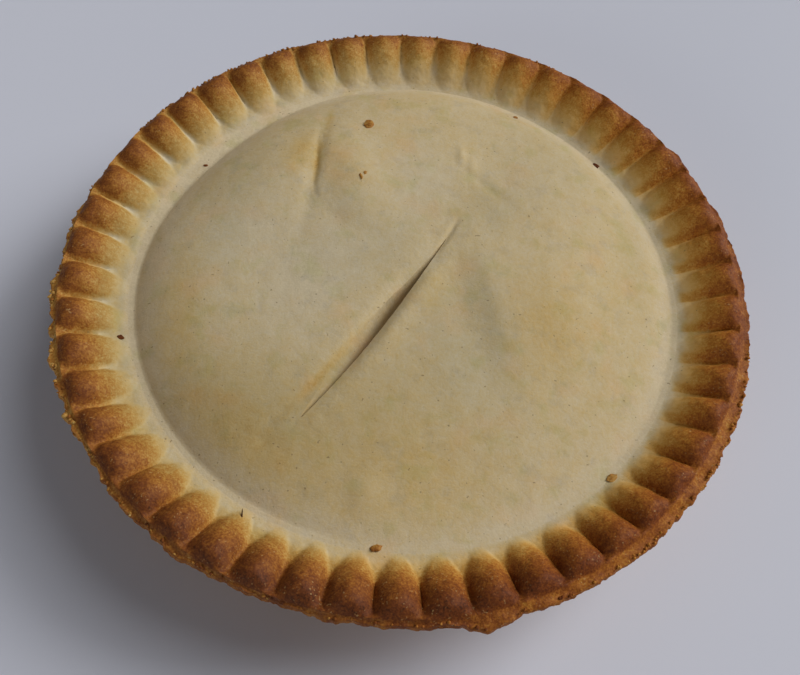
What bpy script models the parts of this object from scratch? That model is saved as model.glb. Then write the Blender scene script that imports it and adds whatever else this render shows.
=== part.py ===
"""A round, family-size meat and potato pie, baked whole and never cut open.

The pie is one solid: a tapered pastry case with a flat underside, a ragged
trimmed edge, a ring of pressed flutes that seals the lid to the case, and a
domed lid with dents, a fold and one knife slit that lets out the steam.

Units are metres, +Z is up. The origin is the centre of the flat underside.
"""

import math
import random

import bpy
from mathutils import Vector, noise

MM = 0.001
SEED = 4127

# Overall sizes
OUTER_RADIUS = 100.0 * MM       # trimmed edge, before its ragged wear
RIM_HEIGHT = 38.0 * MM          # top of the flutes above the underside
LID_RISE = 11.8 * MM            # crown of the lid above the valley beside it

# Ring of flutes, pressed into lid and case together
FLUTE_COUNT = 50
FLUTE_TURN = math.radians(-8.65)    # where the first flute's crest points
FLUTE_CREEP = math.radians(1.55)    # the presses crept this far along the rim
FLUTE_CREEP_AT = math.radians(203)  # most of all here, and backwards opposite
FLUTE_START_RADIUS = 81.2 * MM      # inner tips of the flutes
VALLEY_DEPTH = 9.3 * MM             # below the crests of the flutes
CREST_PEAK = 0.82                   # highest place along a flute, 0 to 1
GROOVE_RISE = 7.7 * MM              # outer end of a groove above the valley
CREST_ROUND = 1.6                   # a higher power gives a softer inner tip
FLUTE_END_DROP = 1.9 * MM           # a crest falls this much to its outer end
FLUTE_END_ROUND = 2.0
FLUTE_TIP_WIDTH = 0.28              # share of the pitch that a tip takes
FLUTE_FULL_AT = 0.46                # a flute is at its full width from here outward
NEAR_FULL_LATER = 0.14              # the near ones reach it this much later
NEAR_FLUTES_AT = math.radians(272)
NEAR_FLUTES_SPREAD = math.radians(62)
FLUTE_SWELL_ROUND = 0.8             # a lower power gives a rounder tip
FLUTE_END_NARROWING = 0.22
TIP_FLANK = 1.1                     # soft skirts at the tip
FULL_FLANK = 0.85                   # full, round sides from the peak outward
GROOVE_CURVE = 1.4                  # a groove's floor climbs by this power
FLUTE_HEIGHT_SPREAD = 0.35 * MM     # hand pressing leaves each flute a little different
FLUTE_WIDTH_RANGE = (0.94, 1.04)
FLUTE_BEND = 0.05

# Dome of the lid
LID_SHOULDER_SHARE = 0.78           # part of the rise made at the steep shoulder
LID_SHOULDER_POWER = 7
LID_GENTLE_POWER = 2.2              # at the near side the lid falls gently instead
LID_GENTLE_FOOT = 1.5               # and flares out into the valley
LID_GENTLE_AT = math.radians(292)
LID_GENTLE_SPREAD = math.radians(64)
LID_FADE_POWER = 8                  # dents and bulges die out towards the foot
LID_SWELL = 0.7 * MM
LID_SWELL_SIZE = 30.0 * MM

# Foot of the lid, inside a narrow level valley
LID_FOOT_RADIUS = 79.5 * MM
FOOT_OUT = 1.5 * MM                 # the lid reaches further out here
FOOT_OUT_AT = math.radians(85)
FOOT_OUT_SPREAD = math.radians(28)
FOOT_IN = 3.2 * MM                  # and stands back here
FOOT_IN_AT = math.radians(146)
FOOT_IN_SPREAD = math.radians(26)

# Trimmed edge outside the flutes
LEDGE_WIDTH = 1.1 * MM              # the narrow edge around most of the pie
LEDGE_EXTRA = 2.8 * MM              # more pastry left on at one side
LEDGE_EXTRA_AT = math.radians(335)
LEDGE_EXTRA_SPREAD = math.radians(42)
LEDGE_DROP = 2.4 * MM               # edge's upper corner below the crests
LEDGE_FAR_DROP = 1.6 * MM           # and lower still here, where the ledge is narrow
LEDGE_FAR_SHARE = 0.5               # share of its width that is missing here
LEDGE_FAR_AT = math.radians(95)
LEDGE_FAR_SPREAD = math.radians(62)
LEDGE_SCALLOP = 0.7 * MM            # the corner dips this much outside a groove
LEDGE_CRUMBLE = 0.5 * MM            # and wavers up and down by this
LEDGE_CRUMBLE_SCALE = 13.0
LEDGE_THICKNESS = 3.0 * MM
UNDERCUT = 0.95                     # the edge's lower corner stands back a little
EDGE_DRIFT = 0.9 * MM               # the outline is this much out of round
EDGE_DRIFT_SCALE = 1.6
EDGE_CHIP = 0.8 * MM                # depth of the ragged chips in the edge
EDGE_CHIP_SCALE = 9.0
EDGE_NICK = 0.5 * MM                # smaller nicks between them
EDGE_NICK_SCALE = 21.0
EDGE_LUMP = 1.8 * MM                # one larger lump of pastry
EDGE_LUMP_AT = math.radians(284.5)
EDGE_LUMP_SPREAD = math.radians(2.6)

# Pastry case below the edge
WALL_TOP_RADIUS = 92.0 * MM
WALL_TOP_HEIGHT = 29.5 * MM
BASE_RADIUS = 75.0 * MM
BASE_CORNER = 3.5 * MM              # soft corner between wall and underside
BASE_CORNER_CUT = 0.3               # place of the corner's middle ring
WALL_RING_SHARES = (0.35, 0.7)      # of the way from the wall's top to its foot
WALL_WAVER = 0.006
WALL_WAVER_SCALE = 1.3

# Knife slit, from its upper right end to its lower left end
SLIT_START = Vector((13.0, 14.7)) * MM
SLIT_END = Vector((-24.3, -49.3)) * MM
SLIT_BOW = 1.9 * MM
SLIT_WIDTH = 4.6 * MM
SLIT_TIP_WIDTH = 0.4 * MM
SLIT_WIDEST = 0.56                  # place along the slit, 0 to 1
SLIT_WIDTH_SPREAD = 0.31
SLIT_LOWER_SPREAD = 0.45            # below the widest place
SLIT_TAPER_AT = 0.80
SLIT_DEPTH = 6.5 * MM
SLIT_TIP_DEPTH = 1.4 * MM
SLIT_DEEPEST = 0.46
SLIT_DEPTH_SPREAD = 0.28
SLIT_STATIONS = 15
# Corners of the blade's section: across in half widths, up in depths.  The left
# face slants down under the right lip, which overhangs a little, and in the upper
# half the cut gapes down to a floor.
SLANTED_CUT = ((-2.6, 0.6), (0.1, 0.6), (0.7, -1.0), (0.4, -1.0))
GAPING_CUT = ((-2.0, 0.6), (0.1, 0.6), (0.7, -1.0), (-0.8, -1.0))
GAPE_AT = 0.40
GAPE_SPREAD = 0.20

# The two banks of the slit: height, distance from the line, its spread,
# place along the line and its spread
RIGHT_LIP = (0.9 * MM, 3.2 * MM, 3.6 * MM, 0.42, 0.27)
LEFT_BANK = (-1.9 * MM, -1.2 * MM, 3.0 * MM, 0.60, 0.34)

# Fineness of the mesh
SIDES_PER_FLUTE = 6
FLUTE_STEPS = (0.0, 0.12, 0.25, 0.40, 0.55, 0.70, 0.82, 0.92, 1.0)
PALE_FLUTE_STEPS = 4                # of those, the ones left pale by the oven
LID_STEP = 3.9 * MM
CENTRE_SIDES = 8
WALL_TOP_SIDES = 150
WALL_SIDES = 100
SMOOTH_ANGLE = math.radians(55)

# Finish
LID_COLOUR = (0.58, 0.45, 0.24, 1.0)
CRUST_COLOUR = (0.30, 0.12, 0.025, 1.0)
CUT_COLOUR = (0.13, 0.06, 0.02, 1.0)
PASTRY_ROUGHNESS = 0.72


def bell(value, spread):
    """A soft hump: 1 at value 0, fading over the given spread."""
    return math.exp(-(value / spread) ** 2)


def turn_between(theta, other):
    """The signed angle from one direction to another, within half a turn."""
    return (theta - other + math.pi) % (2 * math.pi) - math.pi


def wobble(theta, scale, layer):
    """Seeded noise that closes on itself around the pie, about -1 to 1."""
    place = Vector((scale * math.cos(theta), scale * math.sin(theta), layer + 0.37))
    return noise.noise(place)


# ---------------------------------------------------------------- outline

def edge_radius(theta):
    """Radius of the ragged trimmed edge."""
    drift = EDGE_DRIFT * wobble(theta, EDGE_DRIFT_SCALE, 3)
    chips = EDGE_CHIP * wobble(theta, EDGE_CHIP_SCALE, 7)
    nicks = EDGE_NICK * wobble(theta, EDGE_NICK_SCALE, 11)
    lump = EDGE_LUMP * bell(turn_between(theta, EDGE_LUMP_AT), EDGE_LUMP_SPREAD)
    return OUTER_RADIUS + drift + chips + nicks + lump


def flute_end_radius(theta):
    """Radius at which the flutes end and the trimmed edge begins."""
    extra = LEDGE_EXTRA * bell(turn_between(theta, LEDGE_EXTRA_AT), LEDGE_EXTRA_SPREAD)
    far = bell(turn_between(theta, LEDGE_FAR_AT), LEDGE_FAR_SPREAD)
    return OUTER_RADIUS - LEDGE_WIDTH * (1 - LEDGE_FAR_SHARE * far) - extra


def ledge_height(theta):
    """Height of the trimmed edge's upper corner above the underside."""
    far = bell(turn_between(theta, LEDGE_FAR_AT), LEDGE_FAR_SPREAD)
    crumble = LEDGE_CRUMBLE * wobble(theta, LEDGE_CRUMBLE_SCALE, 17)
    return RIM_HEIGHT - LEDGE_DROP - LEDGE_FAR_DROP * far + crumble


# ---------------------------------------------------------------- flutes

def make_flutes():
    """One (height, width, turn) change for each flute, as a hand press leaves them."""
    rng = random.Random(SEED)
    flutes = []
    for _ in range(FLUTE_COUNT):
        height = rng.uniform(-FLUTE_HEIGHT_SPREAD, FLUTE_HEIGHT_SPREAD)
        width = rng.uniform(*FLUTE_WIDTH_RANGE)
        turn = rng.uniform(-FLUTE_BEND, FLUTE_BEND)
        flutes.append((height, width, turn))
    return flutes


FLUTES = make_flutes()


def flute_width(even, along):
    """Half width of a flute as a share of half the pitch: a teardrop in plan."""
    near = bell(turn_between(even, NEAR_FLUTES_AT), NEAR_FLUTES_SPREAD)
    full_at = FLUTE_FULL_AT + NEAR_FULL_LATER * near
    swell = math.sin(0.5 * math.pi * min(1.0, along / full_at)) ** FLUTE_SWELL_ROUND
    past = max(0.0, (along - CREST_PEAK) / (1 - CREST_PEAK))
    return (FLUTE_TIP_WIDTH + (1 - FLUTE_TIP_WIDTH) * swell
            - FLUTE_END_NARROWING * past ** FLUTE_END_ROUND)


def crest_rise(along):
    """Height of a flute's crest above the valley."""
    if along < CREST_PEAK:
        return VALLEY_DEPTH * math.sin(0.5 * math.pi * along / CREST_PEAK) ** CREST_ROUND
    past = (along - CREST_PEAK) / (1 - CREST_PEAK)
    return VALLEY_DEPTH - FLUTE_END_DROP * past ** FLUTE_END_ROUND


def flank(along):
    """Roundness of a flute's sides: soft skirts at the tip, full at the outer end."""
    return TIP_FLANK + (FULL_FLANK - TIP_FLANK) * min(1.0, along / CREST_PEAK)


def groove_rise(along):
    """Height of the floor between two flutes above the valley."""
    return GROOVE_RISE * along ** GROOVE_CURVE


def crept(even):
    """True direction of an evenly counted one, as the presses crept along the rim."""
    return even + FLUTE_CREEP * math.cos(even - FLUTE_CREEP_AT)


def flute_rise(even, along):
    """Height above the valley, from the flutes' tips (0) to their outer end (1)."""
    pitch = 2 * math.pi / FLUTE_COUNT
    index = round((even - FLUTE_TURN) / pitch)
    height, width, turn = FLUTES[index % FLUTE_COUNT]
    across = abs((even - FLUTE_TURN) / pitch - index) * 2 + turn * math.sin(math.pi * along)
    floor = groove_rise(along)
    crest = crest_rise(along) + height * math.sin(math.pi * along)
    share = across / (flute_width(even, along) * width)
    if share >= 1:
        return floor
    return floor + (crest - floor) * (1 - share * share) ** flank(along)


# ---------------------------------------------------------------- lid

def slit_point(along):
    """A point on the slit's line, 0 at its upper right end and 1 at its lower left."""
    run = SLIT_END - SLIT_START
    side = Vector((-run.y, run.x)).normalized()
    return SLIT_START + run * along + side * (SLIT_BOW * 4 * along * (1 - along))


def slit_offset(x, y):
    """Place along the slit, and signed distance from it: positive to its right."""
    run = SLIT_END - SLIT_START
    away = Vector((x, y)) - SLIT_START
    along = away.dot(run) / run.length_squared
    side = Vector((-run.y, run.x)).normalized()
    bow = SLIT_BOW * 4 * along * (1 - along)
    return along, away.dot(side) - bow


def slit_lips(x, y):
    """The raised right lip and the sunken left bank of the slit."""
    along, off = slit_offset(x, y)
    total = 0.0
    for height, distance, width, place, reach in (RIGHT_LIP, LEFT_BANK):
        total += height * bell(off - distance, width) * bell(along - place, reach)
    return total


# Dents (negative) and bulges of the lid:
# centre x, y, half length, half width, heading in degrees, height, all in mm
LID_FORMS = (
    (16.5, -12.5, 24.0, 7.0, 110, -1.5),    # long hollow right of the slit
    (43.0, -8.0, 19.0, 12.0, 100, 1.2),     # bulge beyond that hollow
    (27.0, 36.0, 15.0, 9.0, 120, -0.8),     # shallow dent behind the hollow
    (-19.0, 31.0, 17.0, 9.0, 110, 1.7),     # bulge right of the fold
    (-40.0, 33.0, 13.0, 9.0, 100, 1.0),     # bulge left of the fold
    (-31.0, 36.0, 20.0, 2.4, 88, -0.7),     # the fold itself
    (-20.0, 12.0, 12.0, 4.0, 150, -0.4),    # foot of the fold's bulge
    (14.0, 42.0, 4.5, 1.3, 93, 0.5),        # two small pinched ridges
    (17.5, 37.5, 4.5, 1.6, 95, 0.35),
    (22.0, 31.0, 9.0, 1.8, 140, -0.4),      # short dent beside them
    (-6.0, -67.0, 5.0, 4.0, 60, 0.8),       # small bump near the front
    (-33.2, -55.4, 4.5, 2.2, 60, -0.5),     # crescent dimple
    (-38.0, -12.0, 22.0, 15.0, 60, -0.9),   # flat patch left of the slit
    (30.0, -48.0, 20.0, 12.0, 30, 0.7),     # low swelling near the front
)


def lid_forms(x, y):
    """Sum of the lid's dents and bulges at one place."""
    total = 0.0
    for centre_x, centre_y, half_long, half_wide, heading, height in LID_FORMS:
        turn = math.radians(heading)
        dx = x - centre_x * MM
        dy = y - centre_y * MM
        along = dx * math.cos(turn) + dy * math.sin(turn)
        across = dy * math.cos(turn) - dx * math.sin(turn)
        reach = (along / (half_long * MM)) ** 2 + (across / (half_wide * MM)) ** 2
        total += height * MM * math.exp(-reach)
    return total


def lid_foot(theta):
    """Radius at which the lid meets the valley."""
    out = FOOT_OUT * bell(turn_between(theta, FOOT_OUT_AT), FOOT_OUT_SPREAD)
    back = FOOT_IN * bell(turn_between(theta, FOOT_IN_AT), FOOT_IN_SPREAD)
    return LID_FOOT_RADIUS + out - back


def lid_rise(x, y):
    """Height of the lid above the valley."""
    theta = math.atan2(y, x)
    share = min(1.0, math.hypot(x, y) / lid_foot(theta))
    firm = (LID_SHOULDER_SHARE * (1 - share ** LID_SHOULDER_POWER)
            + (1 - LID_SHOULDER_SHARE) * (1 - share ** 2))
    gentle = (1 - share ** LID_GENTLE_POWER) ** LID_GENTLE_FOOT
    near = bell(turn_between(theta, LID_GENTLE_AT), LID_GENTLE_SPREAD)
    swell = LID_SWELL * noise.noise(Vector((x / LID_SWELL_SIZE, y / LID_SWELL_SIZE, 5.1)))
    forms = lid_forms(x, y) + slit_lips(x, y) + swell
    return LID_RISE * (firm + near * (gentle - firm)) + forms * (1 - share ** LID_FADE_POWER)


VALLEY_HEIGHT = RIM_HEIGHT - VALLEY_DEPTH


# ---------------------------------------------------------------- rings

def even_angles(count):
    """Evenly counted directions, one of them on the first flute's crest."""
    return [FLUTE_TURN + 2 * math.pi * step / count for step in range(count)]


def lid_ring(share):
    """One ring of points on the lid, spaced about as far apart as the rings are."""
    count = max(CENTRE_SIDES, round(2 * math.pi * share * LID_FOOT_RADIUS / LID_STEP))
    points = []
    for even in even_angles(count):
        theta = crept(even)
        radius = share * lid_foot(theta)
        x = radius * math.cos(theta)
        y = radius * math.sin(theta)
        points.append((x, y, VALLEY_HEIGHT + lid_rise(x, y)))
    return points


def flute_ring(along):
    """One ring of points across all the flutes."""
    points = []
    for even in even_angles(FLUTE_COUNT * SIDES_PER_FLUTE):
        theta = crept(even)
        end = flute_end_radius(theta)
        radius = FLUTE_START_RADIUS + along * (end - FLUTE_START_RADIUS)
        height = VALLEY_HEIGHT + flute_rise(even, along)
        points.append((radius * math.cos(theta), radius * math.sin(theta), height))
    return points


def edge_ring(share, below):
    """A ring on the trimmed edge: share 0 at the flutes' end, 1 at the outline."""
    points = []
    for even in even_angles(FLUTE_COUNT * SIDES_PER_FLUTE):
        theta = crept(even)
        start = flute_end_radius(theta)
        radius = start + share * (edge_radius(theta) - start)
        scallop = LEDGE_SCALLOP * math.sin(0.5 * FLUTE_COUNT * (even - FLUTE_TURN)) ** 2
        points.append((radius * math.cos(theta), radius * math.sin(theta),
                       ledge_height(theta) - scallop - below))
    return points


def plain_ring(radius, height, count):
    """A level ring on the case, slightly out of round."""
    points = []
    for theta in even_angles(count):
        true_radius = radius * (1 + WALL_WAVER * wobble(theta, WALL_WAVER_SCALE, 23))
        points.append((true_radius * math.cos(theta), true_radius * math.sin(theta), height))
    return points


def pie_rings():
    """The rings of the pie, from the lid's centre outward and down to the underside.

    The second value is how many of them belong to the pale lid and valley.
    """
    rings = []
    steps = round(LID_FOOT_RADIUS / LID_STEP)
    for step in range(1, steps + 1):
        rings.append(lid_ring(step / steps))
    pale = len(rings) + PALE_FLUTE_STEPS
    for along in FLUTE_STEPS:
        rings.append(flute_ring(along))
    rings.append(edge_ring(1.0, 0.0))
    rings.append(edge_ring(UNDERCUT, LEDGE_THICKNESS))
    rings.append(plain_ring(WALL_TOP_RADIUS, WALL_TOP_HEIGHT, WALL_TOP_SIDES))
    for share in WALL_RING_SHARES:
        radius = WALL_TOP_RADIUS + share * (BASE_RADIUS - WALL_TOP_RADIUS)
        height = WALL_TOP_HEIGHT + share * (BASE_CORNER - WALL_TOP_HEIGHT)
        rings.append(plain_ring(radius, height, WALL_SIDES))
    rings.append(plain_ring(BASE_RADIUS, BASE_CORNER, WALL_SIDES))
    cut = BASE_CORNER_CUT * BASE_CORNER
    rings.append(plain_ring(BASE_RADIUS - cut, cut, WALL_SIDES))
    rings.append(plain_ring(BASE_RADIUS - BASE_CORNER, 0.0, WALL_SIDES))
    return rings, pale


# ---------------------------------------------------------------- mesh

def stitch(inner, outer):
    """Triangles between two rings of any counts, each a list of vertex numbers."""
    faces = []
    i = 0
    j = 0
    while i < len(inner) or j < len(outer):
        next_inner = (i + 1) / len(inner)
        next_outer = (j + 1) / len(outer)
        a = inner[i % len(inner)]
        b = outer[j % len(outer)]
        if j >= len(outer) or (i < len(inner) and next_inner < next_outer):
            faces.append((a, b, inner[(i + 1) % len(inner)]))
            i += 1
        else:
            faces.append((a, b, outer[(j + 1) % len(outer)]))
            j += 1
    return faces


def pie_mesh():
    """The closed pie before the slit is cut, and the number of its pale faces."""
    verts = [(0.0, 0.0, VALLEY_HEIGHT + lid_rise(0.0, 0.0))]
    faces = []
    previous = None
    rings, pale_rings = pie_rings()
    pale_faces = 0
    for number, points in enumerate(rings):
        ring = list(range(len(verts), len(verts) + len(points)))
        verts.extend(points)
        if previous is None:
            for step, vertex in enumerate(ring):
                faces.append((0, vertex, ring[(step + 1) % len(ring)]))
        else:
            faces.extend(stitch(previous, ring))
        previous = ring
        if number < pale_rings:
            pale_faces = len(faces)
    verts.append((0.0, 0.0, 0.0))
    centre = len(verts) - 1
    for step, vertex in enumerate(previous):
        faces.append((centre, previous[(step + 1) % len(previous)], vertex))
    mesh = bpy.data.meshes.new("pie")
    mesh.from_pydata(verts, [], faces)
    mesh.validate()
    return mesh, pale_faces


def blade_corners(gape):
    """The blade's section, from a slanted cut (0) to a gaping one (1)."""
    return [(slanted[0] + gape * (gaping[0] - slanted[0]), slanted[1])
            for slanted, gaping in zip(SLANTED_CUT, GAPING_CUT)]


def slit_mesh():
    """The blade-shaped cutter of the slit: a steep right face, a slanting left one."""
    verts = []
    for station in range(SLIT_STATIONS):
        along = station / (SLIT_STATIONS - 1)
        here = slit_point(along)
        ahead = slit_point(along + 0.01) - slit_point(along - 0.01)
        side = Vector((-ahead.y, ahead.x)).normalized()
        spread = SLIT_LOWER_SPREAD if along > SLIT_WIDEST else SLIT_WIDTH_SPREAD
        taper = max(0.0, (along - SLIT_TAPER_AT) / (1 - SLIT_TAPER_AT))
        opened = bell(along - SLIT_WIDEST, spread) * (1 - taper * taper)
        sunk = bell(along - SLIT_DEEPEST, SLIT_DEPTH_SPREAD)
        half = 0.5 * (SLIT_TIP_WIDTH + (SLIT_WIDTH - SLIT_TIP_WIDTH) * opened)
        depth = SLIT_TIP_DEPTH + (SLIT_DEPTH - SLIT_TIP_DEPTH) * sunk
        top = VALLEY_HEIGHT + lid_rise(here.x, here.y)
        for across, up in blade_corners(bell(along - GAPE_AT, GAPE_SPREAD)):
            corner = here + side * (across * half)
            verts.append((corner.x, corner.y, top + up * depth))
    faces = [(0, 1, 2, 3)]
    for station in range(SLIT_STATIONS - 1):
        near = 4 * station
        far = near + 4
        for corner in range(4):
            other = (corner + 1) % 4
            faces.append((near + corner, far + corner, far + other, near + other))
    last = 4 * (SLIT_STATIONS - 1)
    faces.append((last + 3, last + 2, last + 1, last))
    mesh = bpy.data.meshes.new("slit_cutter")
    mesh.from_pydata(verts, [], faces)
    mesh.validate()
    return mesh


# ---------------------------------------------------------------- objects

def pastry_material(name, colour):
    """A matt baked pastry finish."""
    material = bpy.data.materials.new(name)
    material.use_nodes = True
    shader = material.node_tree.nodes["Principled BSDF"]
    shader.inputs["Base Color"].default_value = colour
    shader.inputs["Roughness"].default_value = PASTRY_ROUGHNESS
    shader.inputs["Metallic"].default_value = 0.0
    return material


def place(name, mesh):
    """A new object in the scene."""
    item = bpy.data.objects.new(name, mesh)
    bpy.context.collection.objects.link(item)
    return item


def build_pie():
    """The pie with its slit cut."""
    mesh, pale_faces = pie_mesh()
    mesh.materials.append(pastry_material("pale_lid_pastry", LID_COLOUR))
    mesh.materials.append(pastry_material("browned_rim_pastry", CRUST_COLOUR))
    for face in mesh.polygons:
        face.material_index = 0 if face.index < pale_faces else 1
    mesh.shade_smooth()
    mesh.set_sharp_from_angle(angle=SMOOTH_ANGLE)
    pie = place("pie", mesh)

    blade_mesh = slit_mesh()
    blade_mesh.materials.append(pastry_material("cut_pastry", CUT_COLOUR))
    blade = place("slit_cutter", blade_mesh)
    blade.hide_render = True
    blade.display_type = 'WIRE'

    cut = pie.modifiers.new("slit", 'BOOLEAN')
    cut.operation = 'DIFFERENCE'
    cut.solver = 'EXACT'
    cut.object = blade
    return pie


def main():
    for item in list(bpy.data.objects):
        bpy.data.objects.remove(item)
    build_pie()


main()
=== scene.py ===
# %% [markdown]
# # A round meat and potato pie
# The pie is one whole thing: a pale domed lid with a knife slit, a browned ring of pressed
# flutes, a ragged trimmed edge and a tapered pastry case.  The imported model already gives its
# true place and size, so this lesson starts from that frame and dresses it.

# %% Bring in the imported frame
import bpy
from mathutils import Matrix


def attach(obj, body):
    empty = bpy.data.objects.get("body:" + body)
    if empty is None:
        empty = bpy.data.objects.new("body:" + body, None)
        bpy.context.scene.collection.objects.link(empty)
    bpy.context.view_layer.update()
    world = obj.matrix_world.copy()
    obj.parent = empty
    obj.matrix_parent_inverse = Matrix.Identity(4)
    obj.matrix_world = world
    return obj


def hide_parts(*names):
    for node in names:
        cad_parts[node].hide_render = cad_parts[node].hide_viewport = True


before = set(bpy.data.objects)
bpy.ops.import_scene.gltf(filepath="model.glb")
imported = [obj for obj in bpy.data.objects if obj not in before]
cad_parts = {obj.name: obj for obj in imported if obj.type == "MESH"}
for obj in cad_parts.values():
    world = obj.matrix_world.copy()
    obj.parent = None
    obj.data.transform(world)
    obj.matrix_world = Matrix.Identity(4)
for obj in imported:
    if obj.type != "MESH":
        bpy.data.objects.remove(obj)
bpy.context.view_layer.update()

# %% [markdown]
# ## What the lesson needs
# Meshes are made with bmesh and numpy, and the unevenness comes from Blender's own noise.  Lengths
# are written in millimetres, times MM, because the scene is in metres and a pie isn't.

# %% Bring in the libraries
import math
import random

import bmesh
import bpy
import numpy as np
from mathutils import Matrix, Vector, noise

MM = 0.001
SEED = 4127
print("one millimetre in the scene:", MM)

# %% [markdown]
# ## Sizes of the pie
# Every size is a name, so a cook's change of mind is one edit.  They repeat the sizes of the
# solid pie, because the dressed surface has to lie where that solid is; only the mesh is finer.

# %% Sizes of the rim
OUTER_RADIUS = 100.0 * MM
RIM_HEIGHT = 38.0 * MM
LID_RISE = 11.8 * MM
FLUTE_COUNT = 50
FLUTE_TURN = math.radians(-8.65)
FLUTE_CREEP = math.radians(1.55)
FLUTE_CREEP_AT = math.radians(203)
FLUTE_START_RADIUS = 81.2 * MM
VALLEY_DEPTH = 9.3 * MM
VALLEY_HEIGHT = RIM_HEIGHT - VALLEY_DEPTH
CREST_PEAK = 0.82
GROOVE_RISE = 7.7 * MM
CREST_ROUND = 1.6
FLUTE_END_DROP = 1.9 * MM
FLUTE_END_ROUND = 2.0
FLUTE_TIP_WIDTH = 0.28
FLUTE_FULL_AT = 0.46
NEAR_FULL_LATER = 0.14
NEAR_FLUTES_AT = math.radians(272)
NEAR_FLUTES_SPREAD = math.radians(62)
FLUTE_SWELL_ROUND = 0.8
FLUTE_END_NARROWING = 0.22
TIP_FLANK = 1.1
FULL_FLANK = 0.85
GROOVE_CURVE = 1.4
FLUTE_HEIGHT_SPREAD = 0.35 * MM
FLUTE_WIDTH_RANGE = (0.94, 1.04)
FLUTE_BEND = 0.05
LEDGE_WIDTH = 1.1 * MM
LEDGE_EXTRA = 2.8 * MM
LEDGE_EXTRA_AT = math.radians(335)
LEDGE_EXTRA_SPREAD = math.radians(42)
LEDGE_DROP = 2.4 * MM
LEDGE_FAR_DROP = 1.6 * MM
LEDGE_FAR_SHARE = 0.5
LEDGE_FAR_AT = math.radians(95)
LEDGE_FAR_SPREAD = math.radians(62)
LEDGE_SCALLOP = 0.7 * MM
LEDGE_CRUMBLE = 0.5 * MM
LEDGE_CRUMBLE_SCALE = 13.0
LEDGE_THICKNESS = 3.0 * MM
UNDERCUT = 0.95
EDGE_DRIFT = 0.9 * MM
EDGE_DRIFT_SCALE = 1.6
EDGE_CHIP = 0.8 * MM
EDGE_CHIP_SCALE = 9.0
EDGE_NICK = 0.5 * MM
EDGE_NICK_SCALE = 21.0
EDGE_LUMP = 1.8 * MM
EDGE_LUMP_AT = math.radians(284.5)
EDGE_LUMP_SPREAD = math.radians(2.6)
print("valley above the table, mm:", round(VALLEY_HEIGHT / MM, 1))

# %% Sizes of the case
WALL_TOP_RADIUS = 92.0 * MM
WALL_TOP_HEIGHT = 29.5 * MM
BASE_RADIUS = 75.0 * MM
BASE_CORNER = 3.5 * MM
WALL_WAVER = 0.006
WALL_WAVER_SCALE = 1.3
print("the wall leans out over, mm:", round((WALL_TOP_RADIUS - BASE_RADIUS) / MM, 1))

# %% Sizes of the lid
LID_SHOULDER_SHARE = 0.78
LID_SHOULDER_POWER = 7
LID_GENTLE_POWER = 2.2
LID_GENTLE_FOOT = 1.5
LID_GENTLE_AT = math.radians(292)
LID_GENTLE_SPREAD = math.radians(64)
LID_FADE_POWER = 8
LID_SWELL = 0.7 * MM
LID_SWELL_SIZE = 30.0 * MM
LID_FOOT_RADIUS = 79.5 * MM
FOOT_OUT = 1.5 * MM
FOOT_OUT_AT = math.radians(85)
FOOT_OUT_SPREAD = math.radians(28)
FOOT_IN = 3.2 * MM
FOOT_IN_AT = math.radians(146)
FOOT_IN_SPREAD = math.radians(26)
print("lid's crown above the table, mm:", round((VALLEY_HEIGHT + LID_RISE) / MM, 1))

# %% Sizes of the slit
SLIT_START = (13.0 * MM, 14.7 * MM)
SLIT_END = (-24.3 * MM, -49.3 * MM)
SLIT_BOW = 1.9 * MM
SLIT_WIDTH = 4.6 * MM
SLIT_TIP_WIDTH = 0.4 * MM
SLIT_WIDEST = 0.56
SLIT_WIDTH_SPREAD = 0.31
SLIT_LOWER_SPREAD = 0.45            # the same, below the widest place
SLIT_TAPER_AT = 0.80
SLIT_DEPTH = 6.5 * MM
SLIT_TIP_DEPTH = 1.4 * MM
SLIT_DEEPEST = 0.46
SLIT_DEPTH_SPREAD = 0.28
# Strips beside the slit: height, distance to its right, half width, place along it, reach.
RIGHT_LIP = (0.9 * MM, 3.2 * MM, 3.6 * MM, 0.42, 0.27)
LEFT_BANK = (-1.9 * MM, -1.2 * MM, 3.0 * MM, 0.60, 0.34)
print("slit's length, mm:", round(math.dist(SLIT_START, SLIT_END) / MM, 1))

# %% [markdown]
# ## Unevenness
# Pastry is never quite even.  Random numbers would give a rough mess, so smooth noise is used
# instead: it drifts from place to place, and gives the same pie on every run.  Around the rim
# the noise is read on a circle, so that it meets itself without a step.


# %% Helpers for smooth unevenness
def bell(value, spread):
    """A soft hump: 1 where the value is 0, fading over the spread."""
    return np.exp(-(value / spread) ** 2)


def turn_between(theta, other):
    """The signed angle from one direction to another, within half a turn."""
    return (theta - other + math.pi) % (2 * math.pi) - math.pi


def wobble(theta, scale, layer):
    """Noise round the pie, about -1 to 1, for a row of directions."""
    return np.array([noise.noise(Vector((scale * math.cos(t), scale * math.sin(t), layer + 0.37)))
                     for t in theta])


def wobbles(theta, layers):
    """Sum of several wobbles, each given by an amount, a scale and a layer."""
    return sum(amount * wobble(theta, scale, layer) for amount, scale, layer in layers)


def grain(points, size, layer):
    """Noise in space, about -1 to 1, that changes over the given size."""
    return np.array([noise.noise(Vector((x / size, y / size, z / size + layer)))
                     for x, y, z in points])


def ease(value, low, high):
    """0 below low, 1 above high, and a smooth change between them."""
    share = np.clip((value - low) / (high - low), 0.0, 1.0)
    return share * share * (3 - 2 * share)


def band(value, rising, falling):
    """1 between a rising and a falling end, each a pair of values, and 0 outside them."""
    return ease(value, *rising) * (1 - ease(value, *falling))


print("noise at the first flute:", wobble([FLUTE_TURN], EDGE_CHIP_SCALE, 7).round(3))

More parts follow.
